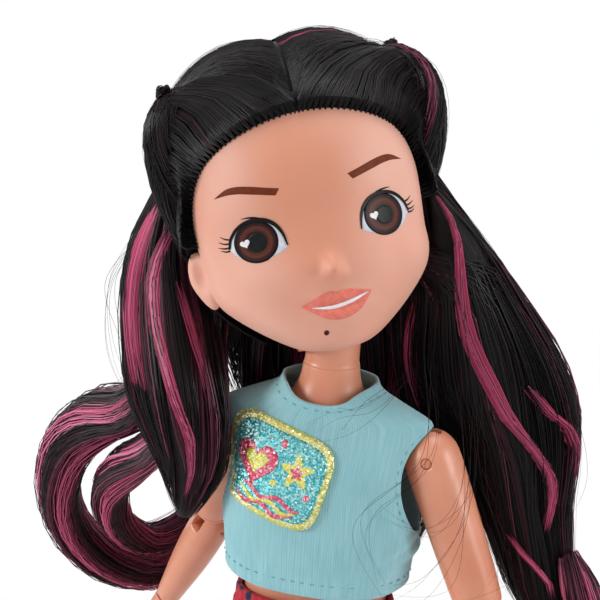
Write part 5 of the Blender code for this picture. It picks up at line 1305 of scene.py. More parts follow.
def topPoint(z, angle, grow=0.0):
    halfWidth, front, back, power = tableAt(topShape["sections"], z)
    c, s = cos(angle), sin(angle)
    depth = back if s > 0 else front
    return Vector((
        (halfWidth + grow) * copysign(abs(c) ** (2 / power), c),
        (depth + grow) * copysign(abs(s) ** (2 / power), s), z))


def armholeAngle(z, isBack):
    # How far the armhole's edge lies round from the side seam
    halfY, halfZ = topShape["armholeHalf"]
    rise = (z - topShape["armholeZ"]) / halfZ
    if abs(rise) >= 1:
        return 0.0
    depth = halfY * sqrt(1 - rise * rise)
    halfWidth, front, back, power = tableAt(topShape["sections"], z)
    return asin(min((depth / (back if isBack else front)) ** (power / 2), 1.0))


def panelHeight(v):
    # Even rows up to the armhole, rows that follow its curve, then the yoke
    shape = topShape
    low, high = (shape["armholeZ"] + sign * shape["armholeHalf"][1] for sign in (-1, 1))
    if v < 0.30:
        return shape["hem"] + (low - shape["hem"]) * v / 0.30
    if v < 0.84:
        return shape["armholeZ"] - shape["armholeHalf"][1] * cos(pi * (v - 0.30) / 0.54)
    return high + (shape["edge"] - high) * (v - 0.84) / 0.16


def nearBadge(x, z):
    shape = badgeShape
    return bellCurve((x - shape["x"]) / shape["width"], 0.85) * bellCurve((z - shape["z"]) / shape["height"], 0.85)


def clothRise(across, z, edges):
    # Small folds, and the double cloth and stitch groove at each edge
    rise = 0.0
    for (u0, z0), (u1, z1), width, height in topShape["folds"]:
        run = Vector(((u1 - u0) * 28, z1 - z0))
        away = Vector(((across - u0) * 28, z - z0))
        t = min(max(away.dot(run) / run.length_squared, 0.0), 1.0)
        rise += height * bellCurve((away - run * t).length, width) * (1 - 0.6 * t)
    rise += 0.22 * noise.noise(Vector((across * 7, z * 0.13,
                                       3.1))) + 0.1 * noise.noise(Vector((across * 17, z * 0.4, 8.0)))
    for distance, stitch in edges:
        rise += 0.16 * smoothstep(stitch + 0.5, stitch - 0.1, distance) - 0.16 * bellCurve(distance - stitch, 0.28)
    return rise


def makeJersey():
    # Cotton jersey, circular knit: soft and matte, fine vertical ribs 0.45 mm apart, heathered tone
    material, add = newMaterial("knitCottonJersey")
    flow = add("UVMap", uv_map="flow")  # 1 unit is 1 mm
    parts = add("SeparateXYZ", {"Vector": flow})
    # the V-shaped stitches: rows 0.5 mm high that lean left and right of each rib
    ribs = add("Math", {0: parts, 1: 1 / 0.45}, operation="MULTIPLY")
    ribFold = add("Math", {0: ribs, 1: 1.0}, operation="PINGPONG")
    lean = add("Math", {0: ribFold, 1: 0.6, 2: parts.outputs["Y"]}, operation="MULTIPLY_ADD")
    rows = add("Math", {0: lean, 1: 2 * pi / 0.5}, operation="MULTIPLY")
    loops = add("Math", {0: rows}, operation="SINE")
    ribWave = add("Math", {0: ribFold, 1: pi}, operation="MULTIPLY")
    ribRise = add("Math", {0: ribWave}, operation="SINE")
    knit = add("Math", {0: loops, 1: 0.35, 2: ribRise}, operation="MULTIPLY_ADD")
    slubMap = add("Mapping", {"Vector": flow, "Scale": (2.2, 0.12, 1.0)})
    slub = add("TexNoise", {"Vector": slubMap, "Scale": 1.0, "Detail": 3.0})
    worn = add("TexNoise", {"Vector": flow, "Scale": 0.09, "Detail": 2.0})
    tone = add("ValToRGB", {"Fac": slub},
                   [(0.3, "#83bcc6"), (0.5, "#92c9d2"), (0.72, "#a9d8df")])
    patch = add("ValToRGB", {"Fac": worn}, [(0.3, "#8fc6cf"), (0.7, "#a3d3dc")])
    mixed = add("Mix", {0: 0.45, 6: tone, 7: patch}, data_type="RGBA")
    # painted shade: the low places between the knit loops are darkened, and the tops of the loops made a touch lighter
    knitGapShade = add("MapRange", {"Value": knit, "From Min": -0.35, "From Max": 1.0,
                                          "To Min": 0.80, "To Max": 1.03})
    shaded = add("Mix", {0: 1.0, 6: mixed.outputs[2], 7: knitGapShade},
                     data_type="RGBA", blend_type="MULTIPLY")
    fuzz = add("TexNoise", {"Vector": flow, "Scale": 7.0, "Detail": 3.0})
    height = add("Math", {0: fuzz, 1: 0.8, 2: knit}, operation="MULTIPLY_ADD")
    bump = add("Bump", {"Height": height, "Strength": 0.35, "Distance": 0.0001})
    shader = add("BsdfPrincipled", {
        "Base Color": shaded.outputs[2], "Roughness": 0.92, "Sheen Weight": 0.25, "Sheen Roughness": 0.5,
        "Normal": bump})
    add("OutputMaterial", {"Surface": shader})
    return material


def makeThread(name, dark, light):
    # Spun polyester sewing thread: twisted, slightly shiny
    material, add = newMaterial(name)
    spot = add("TexCoord")
    twist = add("TexNoise", {"Vector": spot.outputs["Object"], "Scale": 4000.0, "Detail": 2.0})
    tone = add("ValToRGB", {"Fac": twist}, [(0.3, dark), (0.7, light)])
    bump = add("Bump", {"Height": twist, "Strength": 0.4, "Distance": 0.0001})
    shader = add("BsdfPrincipled", {"Base Color": tone, "Roughness": 0.6,
                                                  "Normal": bump})
    add("OutputMaterial", {"Surface": shader})
    return material


jersey = makeJersey()
tealThread = makeThread("tealThread", "#4f9fb0", "#6db6c4")


def panelPoint(across, v, start, end, isBack):
    # A point of a panel, across from start to end in angle at this row
    z = panelHeight(v)
    shape = topShape
    z += shape["sideLift"] * max(1 - v / 0.30, 0.0) ** 2 * cos(start + across * (end - start)) ** 4
    if not isBack:
        dip = shape["neckDip"] * smoothstep(0.86, 1.0, v) * bellCurve(start + across * (end - start) + pi / 2, 0.75)
        z -= dip
    side = armholeAngle(z, isBack)
    low = max(start, side) if isBack else start + side
    high = min(end, pi - side) if isBack else end - side
    angle = low + (high - low) * across
    point = topPoint(z, angle)
    outward = topPoint(z, angle, 1.0) - point
    return point, outward.normalized(), angle, z


def addPanel(name, start, end, isBack, replaced):
    shape = topShape
    columns, rows = shape["columns"] if not isBack else shape["columns"] // 2, shape["rows"]
    bm = bmesh.new()
    bmesh.ops.create_grid(bm, x_segments=columns, y_segments=rows, size=1)
    uv = bm.loops.layers.uv.new("flow")
    halfY, halfZ = shape["armholeHalf"]
    flat = {}
    for vert in bm.verts:
        across, v = (vert.co.x + 1) / 2, (vert.co.y + 1) / 2
        point, outward, angle, z = panelPoint(across, v, start, end, isBack)
        edges = [(z - shape["hem"], shape["hemStitch"]), ((1 - v) * 22.0, shape["neckStitch"])]
        fromArm = (hypot(point.y / halfY, (z - shape["armholeZ"]) / halfZ) - 1) * (halfY + halfZ) / 2
        if abs(point.x) > 11:
            edges.append((max(fromArm, 0.0), shape["armStitch"]))
        sideways = cos(angle)
        rise = clothRise(sideways if not isBack else sideways * 0.98 + 0.01, z, edges)
        rise *= 1 - min(1.0, 1.6 * nearBadge(point.x, z)) * (0 if isBack else 1)
        vert.co = point + outward * (rise - 0.08)
        flat[vert] = (angle * 18, z)
    for face in bm.faces:
        for corner in face.loops:
            corner[uv].uv = flat[corner.vert]
    bmesh.ops.recalc_face_normals(bm, faces=bm.faces)
    middle = bm.faces[len(bm.faces) // 2]
    if middle.normal.y * (1 if isBack else -1) < 0:
        bmesh.ops.reverse_faces(bm, faces=bm.faces)
    area = sum(face.calc_area() for face in bm.faces) * mm * mm
    width = max(sum((panelPoint((i + 1) / 40, v, start, end,
                                isBack)[0] - panelPoint(i / 40, v, start, end, isBack)[0]).length
                    for i in range(40)) for v in (0.0, 0.15, 0.29)) * mm
    length = sum((panelPoint(0.5, (j + 1) / 40, start, end,
                             isBack)[0] - panelPoint(0.5, j / 40, start, end, isBack)[0]).length
                 for j in range(40)) * mm
    bmesh.ops.solidify(bm, geom=bm.faces, thickness=shape["thickness"] * 0.8)
    bm.transform(bodyPlace)
    panel = addPiece(name, bm, jersey, "torso", replaced)
    return panel, (width * 1.02, length * 1.06), area


def stitchRun(bm, points, outwards, spacing, size):
    # Thread dashes laid end to end along a line, with a gap between two
    total = [0.0]
    for a, b in zip(points, points[1:]):
        total.append(total[-1] + (b - a).length)
    at = spacing / 2
    k = 0
    while at < total[-1]:
        while total[k + 1] < at:
            k += 1
        f = (at - total[k]) / (total[k + 1] - total[k])
        place = points[k].lerp(points[k + 1], f)
        run = (points[k + 1] - points[k]).normalized()
        out = outwards[k]
        across = out.cross(run).normalized()
        turn = Matrix((run, across, out)).transposed().to_4x4()
        bmesh.ops.create_uvsphere(bm, u_segments=6, v_segments=5, radius=1,
                                  matrix=Matrix.Translation(place) @ turn @ Matrix.Diagonal((*size, 1)))
        at += spacing


def addStitches(name, lines, material, spacing, body="torso", place=None, size=(0.55, 0.14, 0.13)):
    bm = bmesh.new()
    for points, outwards in lines:
        stitchRun(bm, points, outwards, spacing, size)
    bmesh.ops.recalc_face_normals(bm, faces=bm.faces)
    bm.transform(place or bodyPlace)
    return addPiece(name, bm, material, body)


def panelLine(where, start, end, isBack, lift, steps=120):
    points, outwards = [], []
    for k in range(steps + 1):
        across, v = where(k / steps)
        point, outward, angle, z = panelPoint(across, v, start, end, isBack)
        points.append(point + outward * lift)
        outwards.append(outward)
    return points, outwards


panels = (("topFront", -pi, 0.0, False, ("top_front",)), ("topBackLeft", 0.0, pi / 2 - 0.012, True, ("top_back_left",)),
          ("topBackRight", pi / 2 + 0.012, pi, True, ("top_back_right",)))
hemShare = 0.30 * topShape["hemStitch"] / (topShape["armholeZ"] - topShape["armholeHalf"][1] - topShape["hem"])
for name, start, end, isBack, replaced in panels:
    panel, flat, area = addPanel(name, start, end, isBack, replaced)
    hem = addStitches(name + "HemStitches", [panelLine(lambda t: (0.01 + 0.98 * t, hemShare), start, end, isBack,
                                                       0.02)],
                      tealThread, 2.1)
    neck = addStitches(name + "NeckStitches", [panelLine(lambda t: (0.03 + 0.94 * t, 0.962), start, end, isBack, 0.02)],
                       tealThread, 2.4)
    arms = []
    if not isBack or name.endswith("Left"):
        arms.append(panelLine(lambda t: (0.035 if isBack else 0.965, 0.33 + 0.49 * t), start, end, isBack, 0.02))
    if not isBack or name.endswith("Right"):
        arms.append(panelLine(lambda t: (0.965 if isBack else 0.035, 0.33 + 0.49 * t), start, end, isBack, 0.02))
    armStitches = addStitches(name + "ArmholeStitches", arms, tealThread, 2.2)
print("crop top made")


# Badge on the chest

def chestY(x, z):
    halfWidth, front, back, power = tableAt(topShape["sections"], z)
    return -front * max(1 - abs(x / halfWidth) ** power, 0.0) ** (1 / power)


def onChest(u, v, lift):
    # Badge places in mm from its centre, laid on the front of the top
    shape = badgeShape
    tilt = radians(shape["tilt"])
    x = shape["x"] + u * cos(tilt) + v * sin(tilt)
    z = shape["z"] - u * sin(tilt) + v * cos(tilt)
    y = chestY(x, z)
    slope = Vector((chestY(x - 0.2, z) - chestY(x + 0.2, z), -0.4, chestY(x, z - 0.2) - chestY(x, z + 0.2)))
    return Vector((x, y, z)) + slope.normalized() * lift * (1 if slope.y < 0 else -1)


def badgeEdge(angle, inset=0.0):
    shape = badgeShape
    a, b = shape["width"] / 2 - inset, shape["height"] / 2 - inset
    c, s = cos(angle), sin(angle)
    r = (abs(c / a) ** shape["power"] + abs(s / b) ** shape["power"]) ** (-1 / shape["power"])
    return r * c, r * s


def laidOn(name, bm, where, lift, thickness, material, replaced=(), size=1.0):
    for vert in bm.verts:
        u, v = (size * length for length in where(vert.co))
        vert.co = onChest(u, v, lift)
    thicken(bm, thickness)
    bm.transform(bodyPlace)
    addPiece(name, bm, material, "torso", replaced)


def makeGlitter(name, base, bright, accent, share):
    # Glitter ink: clear binder full of foil flakes 0.3 mm across, each tilted its own way
    material, add = newMaterial(name)
    spot = add("TexCoord")
    flakes = add("TexVoronoi", {"Vector": spot.outputs["Object"], "Scale": 1 / (0.33 * mm)})
    pick = add("SeparateColor", {"Color": flakes.outputs["Color"]})
    tone = add("ValToRGB", {"Fac": pick},
                   [(0.0, base), (share - 0.12, base), (share, bright), (0.93, accent), (1.0, "#ffffff")])
    shift = add("VectorMath", {0: flakes.outputs["Color"], 1: (0.5, 0.5, 0.5)}, operation="SUBTRACT")
    tilt = add("VectorMath", {0: shift, "Scale": 0.9}, operation="SCALE")
    geometry = add("NewGeometry")
    turned = add("VectorMath", {0: geometry.outputs["Normal"], 1: tilt}, operation="ADD")
    unit = add("VectorMath", {0: turned}, operation="NORMALIZE")
    foil = add("MapRange", {"Value": pick, "From Min": share - 0.1, "From Max": share,
                                          "To Min": 0.0, "To Max": 0.55})
    shader = add("BsdfPrincipled", {
        "Base Color": tone, "Metallic": foil, "Roughness": 0.32,
        "Normal": unit, "Coat Weight": 0.4, "Coat Roughness": 0.15})
    add("OutputMaterial", {"Surface": shader})
    return material


glitterYellow = makeGlitter("yellowGlitterInk", "#c9c653", "#dede80", "#f2f2c8", 0.55)
glitterTeal = makeGlitter("tealGlitterInk", "#17939f", "#35bcc2", "#b8f0ec", 0.45)
glitterPink = makeGlitter("pinkGlitterInk", "#cf2f55", "#e25276", "#f8bcca", 0.6)
glitterSun = makeGlitter("sunGlitterInk", "#d6cf3e", "#e8e26a", "#fbf8c0", 0.6)


def polarPlace(outline, u, v, size, turn=0.0):
    # A flat disc pulled out to an outline, put at u and v on the badge
    def where(co):
        angle = atan2(co.y, co.x)
        x, y = outline(angle)
        r = hypot(co.x, co.y) * size
        c, s = cos(turn), sin(turn)
        return u + r * (x * c - y * s), v + r * (x * s + y * c)
    return where


def starOutline(angle):
    sweep = ((angle - pi / 2) / (2 * pi) * 5) % 1.0
    near = abs(sweep - 0.5) * 2
    r = 0.42 + 0.58 * near ** 1.4
    return r * cos(angle), r * sin(angle)


def uprightHeart(angle):
    return heartOutline(pi / 2 - angle)


def roundOutline(angle):
    return cos(angle), sin(angle)


border = badgeShape["border"]
for name, inset, lift, thickness, material, replaced in (
        ("badgeBorder", 0, 0.62, 0.45, glitterYellow, ("chest_badge",)),
        ("badgeField", border, 0.74, 0.14, glitterTeal, ())):
    laidOn(name, discMesh(14, 96),
           lambda co: [k * hypot(co.x, co.y) for k in badgeEdge(atan2(co.y, co.x), inset)],
           lift, thickness, material, replaced)
for name, count, outline, place, lift, thickness, material in (
        ("Heart", 72, uprightHeart, (-3.6, 0.6, 4.3, 0.12), 0.86, 0.13, glitterPink),
        ("HeartCore", 60, uprightHeart, (-3.6, 0.8, 2.3, 0.12), 0.95, 0.1, glitterSun),
        ("Star", 80, starOutline, (4.5, 2.0, 3.3, 0.2), 0.86, 0.13, glitterSun),
        ("StarCore", 80, starOutline, (4.5, 2.0, 1.5, 0.2), 0.95, 0.1, glitterPink)):
    disc = discMesh(5 if "Core" in name else 6, count)
    laidOn("badge" + name, disc, polarPlace(outline, *place), lift, thickness, material, size=badgeShape["motif"])
for k, (low, material) in enumerate(((-4.3, glitterPink), (-5.5, glitterSun), (-6.5, glitterPink))):
    width = 0.42
    laidOn(f"badgeStripe_{k + 1}", stripMesh(48, 3),
           lambda co: (1.0 + 6.2 * co.x - 0.5 * k, low + 0.55 * sin(co.x * 6 + k) + width * co.y * (1 - co.x ** 8)),
           0.86, 0.12, material, size=badgeShape["motif"])
for k, (u, v) in enumerate(((0.6, 5.6), (-7.2, -4.6), (7.6, -1.6), (0.9, -1.4))):
    laidOn(f"badgeDot_{k + 1}", discMesh(3, 28), polarPlace(roundOutline, u, v, 0.62), 0.86, 0.12,
           glitterSun if k % 2 else glitterPink,
           size=badgeShape["motif"])
print("badge made")


# Hook-and-loop strips under the back opening

def makeNap(name, dark, light):
    # Woven nylon tape with a napped face
    material, add = newMaterial(name)
    spot = add("TexCoord")
    hooks = add("TexVoronoi", {"Vector": spot.outputs["Object"], "Scale": 1 / (0.4 * mm)})
    # painted shade: the tape is lighter on the raised hooks and darker in the low places between them
    tone = add("ValToRGB", {"Fac": hooks}, [(0.1, light), (0.6, dark)])
    bump = add("Bump", {"Height": hooks, "Strength": 0.8, "Distance": 0.0002}, invert=True)
    shader = add("BsdfPrincipled", {"Base Color": tone, "Roughness": 0.75,
                                                  "Normal": bump})
    add("OutputMaterial", {"Surface": shader})
    return material


hookTape = makeNap("nylonHookTape", "#8fb9c1", "#c3dfe4")


# Shorts

def makeCotton():
    # Printed cotton poplin: plain weave with threads 0.3 mm apart, navy sprigs on red
    material, add = newMaterial("printedCottonPoplin")
    spot = add("TexCoord")
    warp = add("TexWave", {"Vector": spot.outputs["Object"], "Scale": 1 / (0.3 * mm) / 3.18, "Distortion": 0.6},
                   bands_direction="Z")
    weft = add("TexWave", {"Vector": spot.outputs["Object"], "Scale": 1 / (0.3 * mm) / 3.18, "Distortion": 0.6},
                   bands_direction="X")
    weave = add("Math", {0: warp.outputs["Fac"], 1: weft.outputs["Fac"]}, operation="MULTIPLY")
    marks = add("TexVoronoi", {"Vector": spot.outputs["Object"], "Scale": 1 / (4.2 * mm), "Randomness": 0.55})
    edge = add("TexNoise", {"Vector": spot.outputs["Object"], "Scale": 900.0, "Detail": 2.0})
    rough = add("Math", {0: edge, 1: 0.35, 2: marks}, operation="MULTIPLY_ADD")
    inked = add("ValToRGB", {"Fac": rough},
                    [(0.0, "#1b1d3a"), (0.40, "#1f2040"), (0.44, "#c91831"), (1.0, "#d2152f")])
    shaded = add("MapRange", {"Value": weave, "To Min": 0.72, "To Max": 1.1})
    toned = add("Mix", {0: 1.0, 6: inked, 7: shaded},
                    data_type="RGBA", blend_type="MULTIPLY")
    bump = add("Bump", {"Height": weave, "Strength": 0.4, "Distance": 0.0001})
    shader = add("BsdfPrincipled", {
        "Base Color": toned.outputs[2], "Roughness": 0.85, "Sheen Weight": 0.1, "Normal": bump})
    add("OutputMaterial", {"Surface": shader})
    return material


cotton = makeCotton()
navyThread = makeThread("navyThread", "#23264a", "#3a3e6b")


def mergedCopy(name):
    # The CAD node's own mesh in mm, with its loose triangles joined up
    bm = bmesh.new()
    bm.from_mesh(nodes[name].data)
    bm.transform(Matrix.Scale(1 / mm, 4))
    bmesh.ops.remove_doubles(bm, verts=bm.verts, dist=0.003)
    bmesh.ops.dissolve_degenerate(bm, dist=0.002, edges=bm.edges)
    return bm


def softCopy(name, pieceName, material, body, voxel, smooth, move=None, ride=True):
    bm = mergedCopy(name)
    mesh = bpy.data.meshes.new(pieceName)
    bm.to_mesh(mesh)
    bm.free()
    piece = bpy.data.objects.new(pieceName, mesh)
    bpy.context.scene.collection.objects.link(piece)
    shrink = piece.modifiers.new("even", "REMESH")
    shrink.mode, shrink.voxel_size = "VOXEL", voxel
    bakeModifiers(piece)
    bm = bmesh.new()
    bm.from_mesh(piece.data)
    for k in range(smooth):
        bmesh.ops.smooth_vert(bm, verts=bm.verts, factor=0.5, use_axis_x=True, use_axis_y=True, use_axis_z=True)
    bm.normal_update()
    if move:
        shifts = [vert.normal * move(vert.co, vert.normal) for vert in bm.verts]
        for vert, shift in zip(bm.verts, shifts):
            vert.co += shift
    bpy.data.objects.remove(piece)
    faceOutwards(bm)
    bm.transform(toMetres)
    return addPiece(pieceName, bm, material, body, (name,), ride)


shortsShape = {"legX": 11.2, "hemZ": 126.0, "hemStitch": 2.4, "bodyY": -12.5}


def shortsRise(co, normal):
    # Soft creases from the crotch and hip, and a double hem
    z = co.z
    turn = atan2(co.y - shortsShape["bodyY"], abs(co.x) - shortsShape["legX"])
    rise = 0.35 * noise.noise(Vector((co.x * 0.09, co.y * 0.09, z * 0.16)))
    rise += 0.22 * sin(turn * 3 + z * 0.16) * smoothstep(160, 136, z)
    rise += 0.28 * bellCurve(z - 148 + 4 * cos(turn), 1.3) * bellCurve(turn, 1.6)
    rise -= 0.22 * bellCurve(z - shortsShape["hemZ"] - shortsShape["hemStitch"], 0.35)
    rise -= 0.2 * bellCurve(co.x, 0.6)
    outer = 1 if normal.dot(Vector((co.x - copysign(shortsShape["legX"], co.x), co.y - shortsShape["bodyY"],
                                    0))) > 0 else 0.6
    return rise * outer * smoothstep(168.9, 166.0, z)


for word, side in (("left", 1), ("right", -1)):
    leg = softCopy(f"shorts_{word}", f"shortsLeg_{word}", cotton, "torso", 0.5, 3, shortsRise, ride=False)
    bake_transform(leg)
    area = sum(face.area for face in leg.data.polygons) / 2
    ring, outs = [], []
    for k in range(97):
        turn = 2 * pi * k / 96
        out = Vector((cos(turn), sin(turn), 0))
        ring.append(Vector((side * shortsShape["legX"], 0, shortsShape["hemZ"] + shortsShape["hemStitch"]))
                    + out * 11.25)
        outs.append(out)
    hem = addStitches(f"shortsHemStitches_{word}", [(ring, outs)], navyThread, 1.9, f"thigh_{word}")
    print("shorts leg area", word, round(area * 1e6), "mm2")


def surfaceOf(names):
    # The pieces of these names, or the CAD nodes, as one surface in mm
    under = bmesh.new()
    for name in names:
        under.from_mesh(bpy.data.objects[name].data if name in bpy.data.objects else nodes[name].data)
    under.transform(Matrix.Scale(1 / mm, 4))
    surface = BVHTree.FromBMesh(under)
    under.free()
    return surface


def castRing(surface, heart, outs, start, least):
    # How far the surface lies from its axis, for each direction
    hits = [surface.ray_cast(heart + out * start, -out)[0] for out in outs]
    return [max((hit - heart).dot(out), least) if hit else least for hit, out in zip(hits, outs)]


def addWrap(name, bm, material, wall):
    # A skin in mm, given a wall on its inner side
    faceOutwards(bm)
    bm.transform(toMetres)
    piece = addPiece(name, bm, material, "torso")
    solid = piece.modifiers.new("wall", "SOLIDIFY")
    solid.thickness, solid.offset = wall * mm, -1.0
    return bakeModifiers(piece)


hipsShape = {"top": 171.2, "bottom": 136.6, "rows": 44, "segments": 120, "ease": 0.3, "cloth": 0.3}


def hipsMesh():
    # The shorts above the leg openings: laid over both legs, bridged down to the crotch, gathered under the band
    surface = surfaceOf(("shortsLeg_left", "shortsLeg_right", "torso_front", "torso_back"))
    count, rows = hipsShape["segments"], hipsShape["rows"]
    turns = [2 * pi * k / count for k in range(count)]
    outs = [Vector((cos(turn), sin(turn), 0)) for turn in turns]
    heights = [hipsShape["top"] + (hipsShape["bottom"] - hipsShape["top"]) * n / (rows - 1) for n in range(rows)]
    near = numpy.zeros((rows, count))
    for n, z in enumerate(heights):
        near[n] = castRing(surface, Vector((0, shortsShape["bodyY"], min(z, 168.0))), outs, 40, 2.5)
    turned = numpy.array(turns)
    facing = numpy.cos(turned[:, None] - turned[None, :])
    hull = numpy.zeros_like(near)
    for n in range(rows):
        reach = (near[n][None, :] * facing).max(axis=1)
        hull[n] = numpy.where(facing > 0.05, reach[None, :] / numpy.maximum(facing, 0.05), 1e6).min(axis=1)
    wide = hull.copy()
    for n in range(rows):
        wide[n] = hull[max(n - 3, 0):n + 4].max(axis=0)
    for step in range(6):
        padded = numpy.vstack([wide[:1], wide, wide[-1:]])
        wide = (padded[:-2] + padded[1:-1] + padded[2:]) / 3
        near = (numpy.roll(near, 1, axis=1) + near + numpy.roll(near, -1, axis=1)) / 3
    rings = []
    for n, z in enumerate(heights):
        share = smoothstep(137.5, 149.0, z)
        ring = []
        for k, turn in enumerate(turns):
            reach = near[n, k] - 0.25 + (wide[n, k] + hipsShape["ease"] + 0.25 - near[n, k]) * share ** 0.6
            x = reach * cos(turn)
            reach += 0.16 * sin(turn * 34 + 1.3 * sin(turn * 5)) * smoothstep(156.0, 169.0, z)
            reach += 0.3 * noise.noise(Vector((x * 0.12, reach * sin(turn) * 0.12, z * 0.2))) * share
            reach -= 0.3 * bellCurve(x, 0.35) * smoothstep(141.0, 146.0, z)
            reach -= 0.45 * smoothstep(169.6, 171.0, z)
            ring.append(Vector((reach * cos(turn), shortsShape["bodyY"] + reach * sin(turn), z)))
        rings.append(ring)
    return loftRings(rings, closeStart=False)


hips = addWrap("shortsHips", hipsMesh(), cotton, hipsShape["cloth"])
area = sum(face.area for face in hips.data.polygons) / 2
print("shorts hips area", round(area * 1e6), "mm2")


def bandRise(co, normal):
    # Gathers over the elastic
    turn = atan2(co.y - shortsShape["bodyY"], co.x)
    return 0.12 * sin(turn * 46 + 0.8 * sin(turn * 7)) * smoothstep(1.0, 0.0, abs(normal.z))


band = softCopy("shorts_waistband", "shortsWaistband", cotton, "torso", 0.3, 3, bandRise)
print("shorts made")


# Sneakers

def makeCanvas():
    # Cotton canvas, plain weave with threads 0.45 mm apart
    material, add = newMaterial("cottonCanvas")
    spot = add("TexCoord")
    warp = add("TexWave", {"Vector": spot.outputs["Object"], "Scale": 1 / (0.45 * mm) / 3.18, "Distortion": 0.4},
                   bands_direction="Z")
    weft = add("TexWave", {"Vector": spot.outputs["Object"], "Scale": 1 / (0.45 * mm) / 3.18, "Distortion": 0.4},
                   bands_direction="Y")
    weave = add("Math", {0: warp.outputs["Fac"], 1: weft.outputs["Fac"]}, operation="ADD")
    dust = add("TexNoise", {"Vector": spot.outputs["Object"], "Scale": 260.0, "Detail": 3.0})
    tone = add("ValToRGB", {"Fac": dust}, [(0.3, "#1f969e"), (0.7, "#2fadb5")])
    shaded = add("MapRange", {"Value": weave, "From Max": 2.0, "To Min": 0.75, "To Max": 1.08})
    toned = add("Mix", {0: 1.0, 6: tone, 7: shaded},
                    data_type="RGBA", blend_type="MULTIPLY")
    bump = add("Bump", {"Height": weave, "Strength": 0.4, "Distance": 0.0001})
    shader = add("BsdfPrincipled", {"Base Color": toned.outputs[2], "Roughness": 0.85,
                                                  "Normal": bump})
    add("OutputMaterial", {"Surface": shader})
    return material


def makeRubber():
    # White vulcanised rubber: matte, a little scuffed near the ground
    material, add = newMaterial("whiteSoleRubber")
    spot = add("TexCoord")
    scuff = add("TexNoise", {"Vector": spot.outputs["Object"], "Scale": 420.0, "Detail": 4.0})
    tone = add("ValToRGB", {"Fac": scuff}, [(0.3, "#dcdad6"), (0.55, "#ebe9e6"), (0.8, "#f1f0ee")])
    bump = add("Bump", {"Height": scuff, "Strength": 0.15, "Distance": 0.0002})
    shader = add("BsdfPrincipled", {"Base Color": tone, "Roughness": 0.6,
                                                  "Normal": bump})
    add("OutputMaterial", {"Surface": shader})
    return material


canvas = makeCanvas()
soleRubber = makeRubber()
whiteLace = makeThread("whiteCottonLace", "#dfdedb", "#f2f1ef")


def addLaces(word):
    # Criss-cross laces over the instep, with a bow
    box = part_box(f"shoe_{word}")
    middle = (box[0] + box[1]) / 2 / mm
    upper = BVHTree.FromBMesh(mergedCopy(f"shoe_{word}"))

    def instep(x, y, lift):
        hit = upper.ray_cast(Vector((x, y, 60)), Vector((0, 0, -1)))[0]
        return (hit if hit else Vector((x, y, 14))) + Vector((0, -0.25, 0.97)) * lift
    strands = []
    front = box[0].y / mm
    for k in range(4):
        y = front + 11.0 + 2.2 * k
        for way in (1, -1):
            path = [instep(middle.x + way * 2.6 * u, y + 1.1 * (u + 1), 0.4 + 0.3 * (1 - u * u) * (way > 0))
                    for u in [n / 5 - 1 for n in range(11)]]
            strands.append((path, 0.42))
    top = instep(middle.x, front + 20.4, 0.9)
    for way in (1, -1):
        loop = [top + Vector((way * 3.4 * sin(a) * (1 if a < 3.2 else 0.8), -1.9 * (1 - cos(a)) * 0.5, 0.9 * sin(a)))
                for a in [n * pi / 8 for n in range(9)]]
        strands.append((loop, 0.36))
        tail = [top + Vector((way * (0.6 + 0.4 * n), -0.7 * n, -0.02 * n * n)) for n in range(6)]
        strands.append((tail, 0.36))
    curve = bpy.data.curves.new(f"lace_{word}", "CURVE")
    curve.dimensions = "3D"
    curve.bevel_depth, curve.bevel_resolution, curve.use_fill_caps = 1.0, 2, True
    for points, radius in strands:
        line = curve.splines.new("POLY")
        line.points.add(len(points) - 1)
        for spot, point in zip(line.points, points):
            spot.co, spot.radius = (*(toMetres @ point), 1), radius * mm
    holder = bpy.data.objects.new("laceCurve", curve)
    bpy.context.scene.collection.objects.link(holder)
    graph = bpy.context.evaluated_depsgraph_get()
    mesh = bpy.data.meshes.new_from_object(holder.evaluated_get(graph), depsgraph=graph)
    bpy.data.objects.remove(holder)
    bm = bmesh.new()
    bm.from_mesh(mesh)
    bmesh.ops.remove_doubles(bm, verts=bm.verts, dist=1e-6)
    bmesh.ops.recalc_face_normals(bm, faces=bm.faces)
    addPiece(f"shoeLace_{word}", bm, whiteLace, f"shin_{word}")


for word, side in (("left", 1), ("right", -1)):
    softCopy(f"shoe_{word}", f"shoeUpper_{word}", canvas, f"shin_{word}", 0.38, 2)
    softCopy(f"shoe_sole_{word}", f"shoeSole_{word}", soleRubber, f"shin_{word}", 0.34, 1,
             lambda co, normal: -0.16 * bellCurve(co.z - 3.4, 0.3) * smoothstep(0.7, 0.2, abs(normal.z)))
    addLaces(word)
print("sneakers made")


# Plastic limbs and trunk

def fineCopy(name, material, body, sharpest=34.0):
    # The CAD node again, with flat facets rounded off and its real edges kept
    bm = mergedCopy(name)
    bmesh.ops.join_triangles(bm, faces=bm.faces, angle_face_threshold=0.6, angle_shape_threshold=0.9)
    crease = bm.edges.layers.float.new("crease_edge")
    for edge in bm.edges:
        if len(edge.link_faces) == 2 and edge.calc_face_angle(0.0) > radians(sharpest):
            edge[crease] = 0.85
    bm.transform(toMetres)
    piece = addPiece(name + "_fine", bm, material, body, (name,))
    round = piece.modifiers.new("round", "SUBSURF")
    round.levels = round.render_levels = 2
    return piece


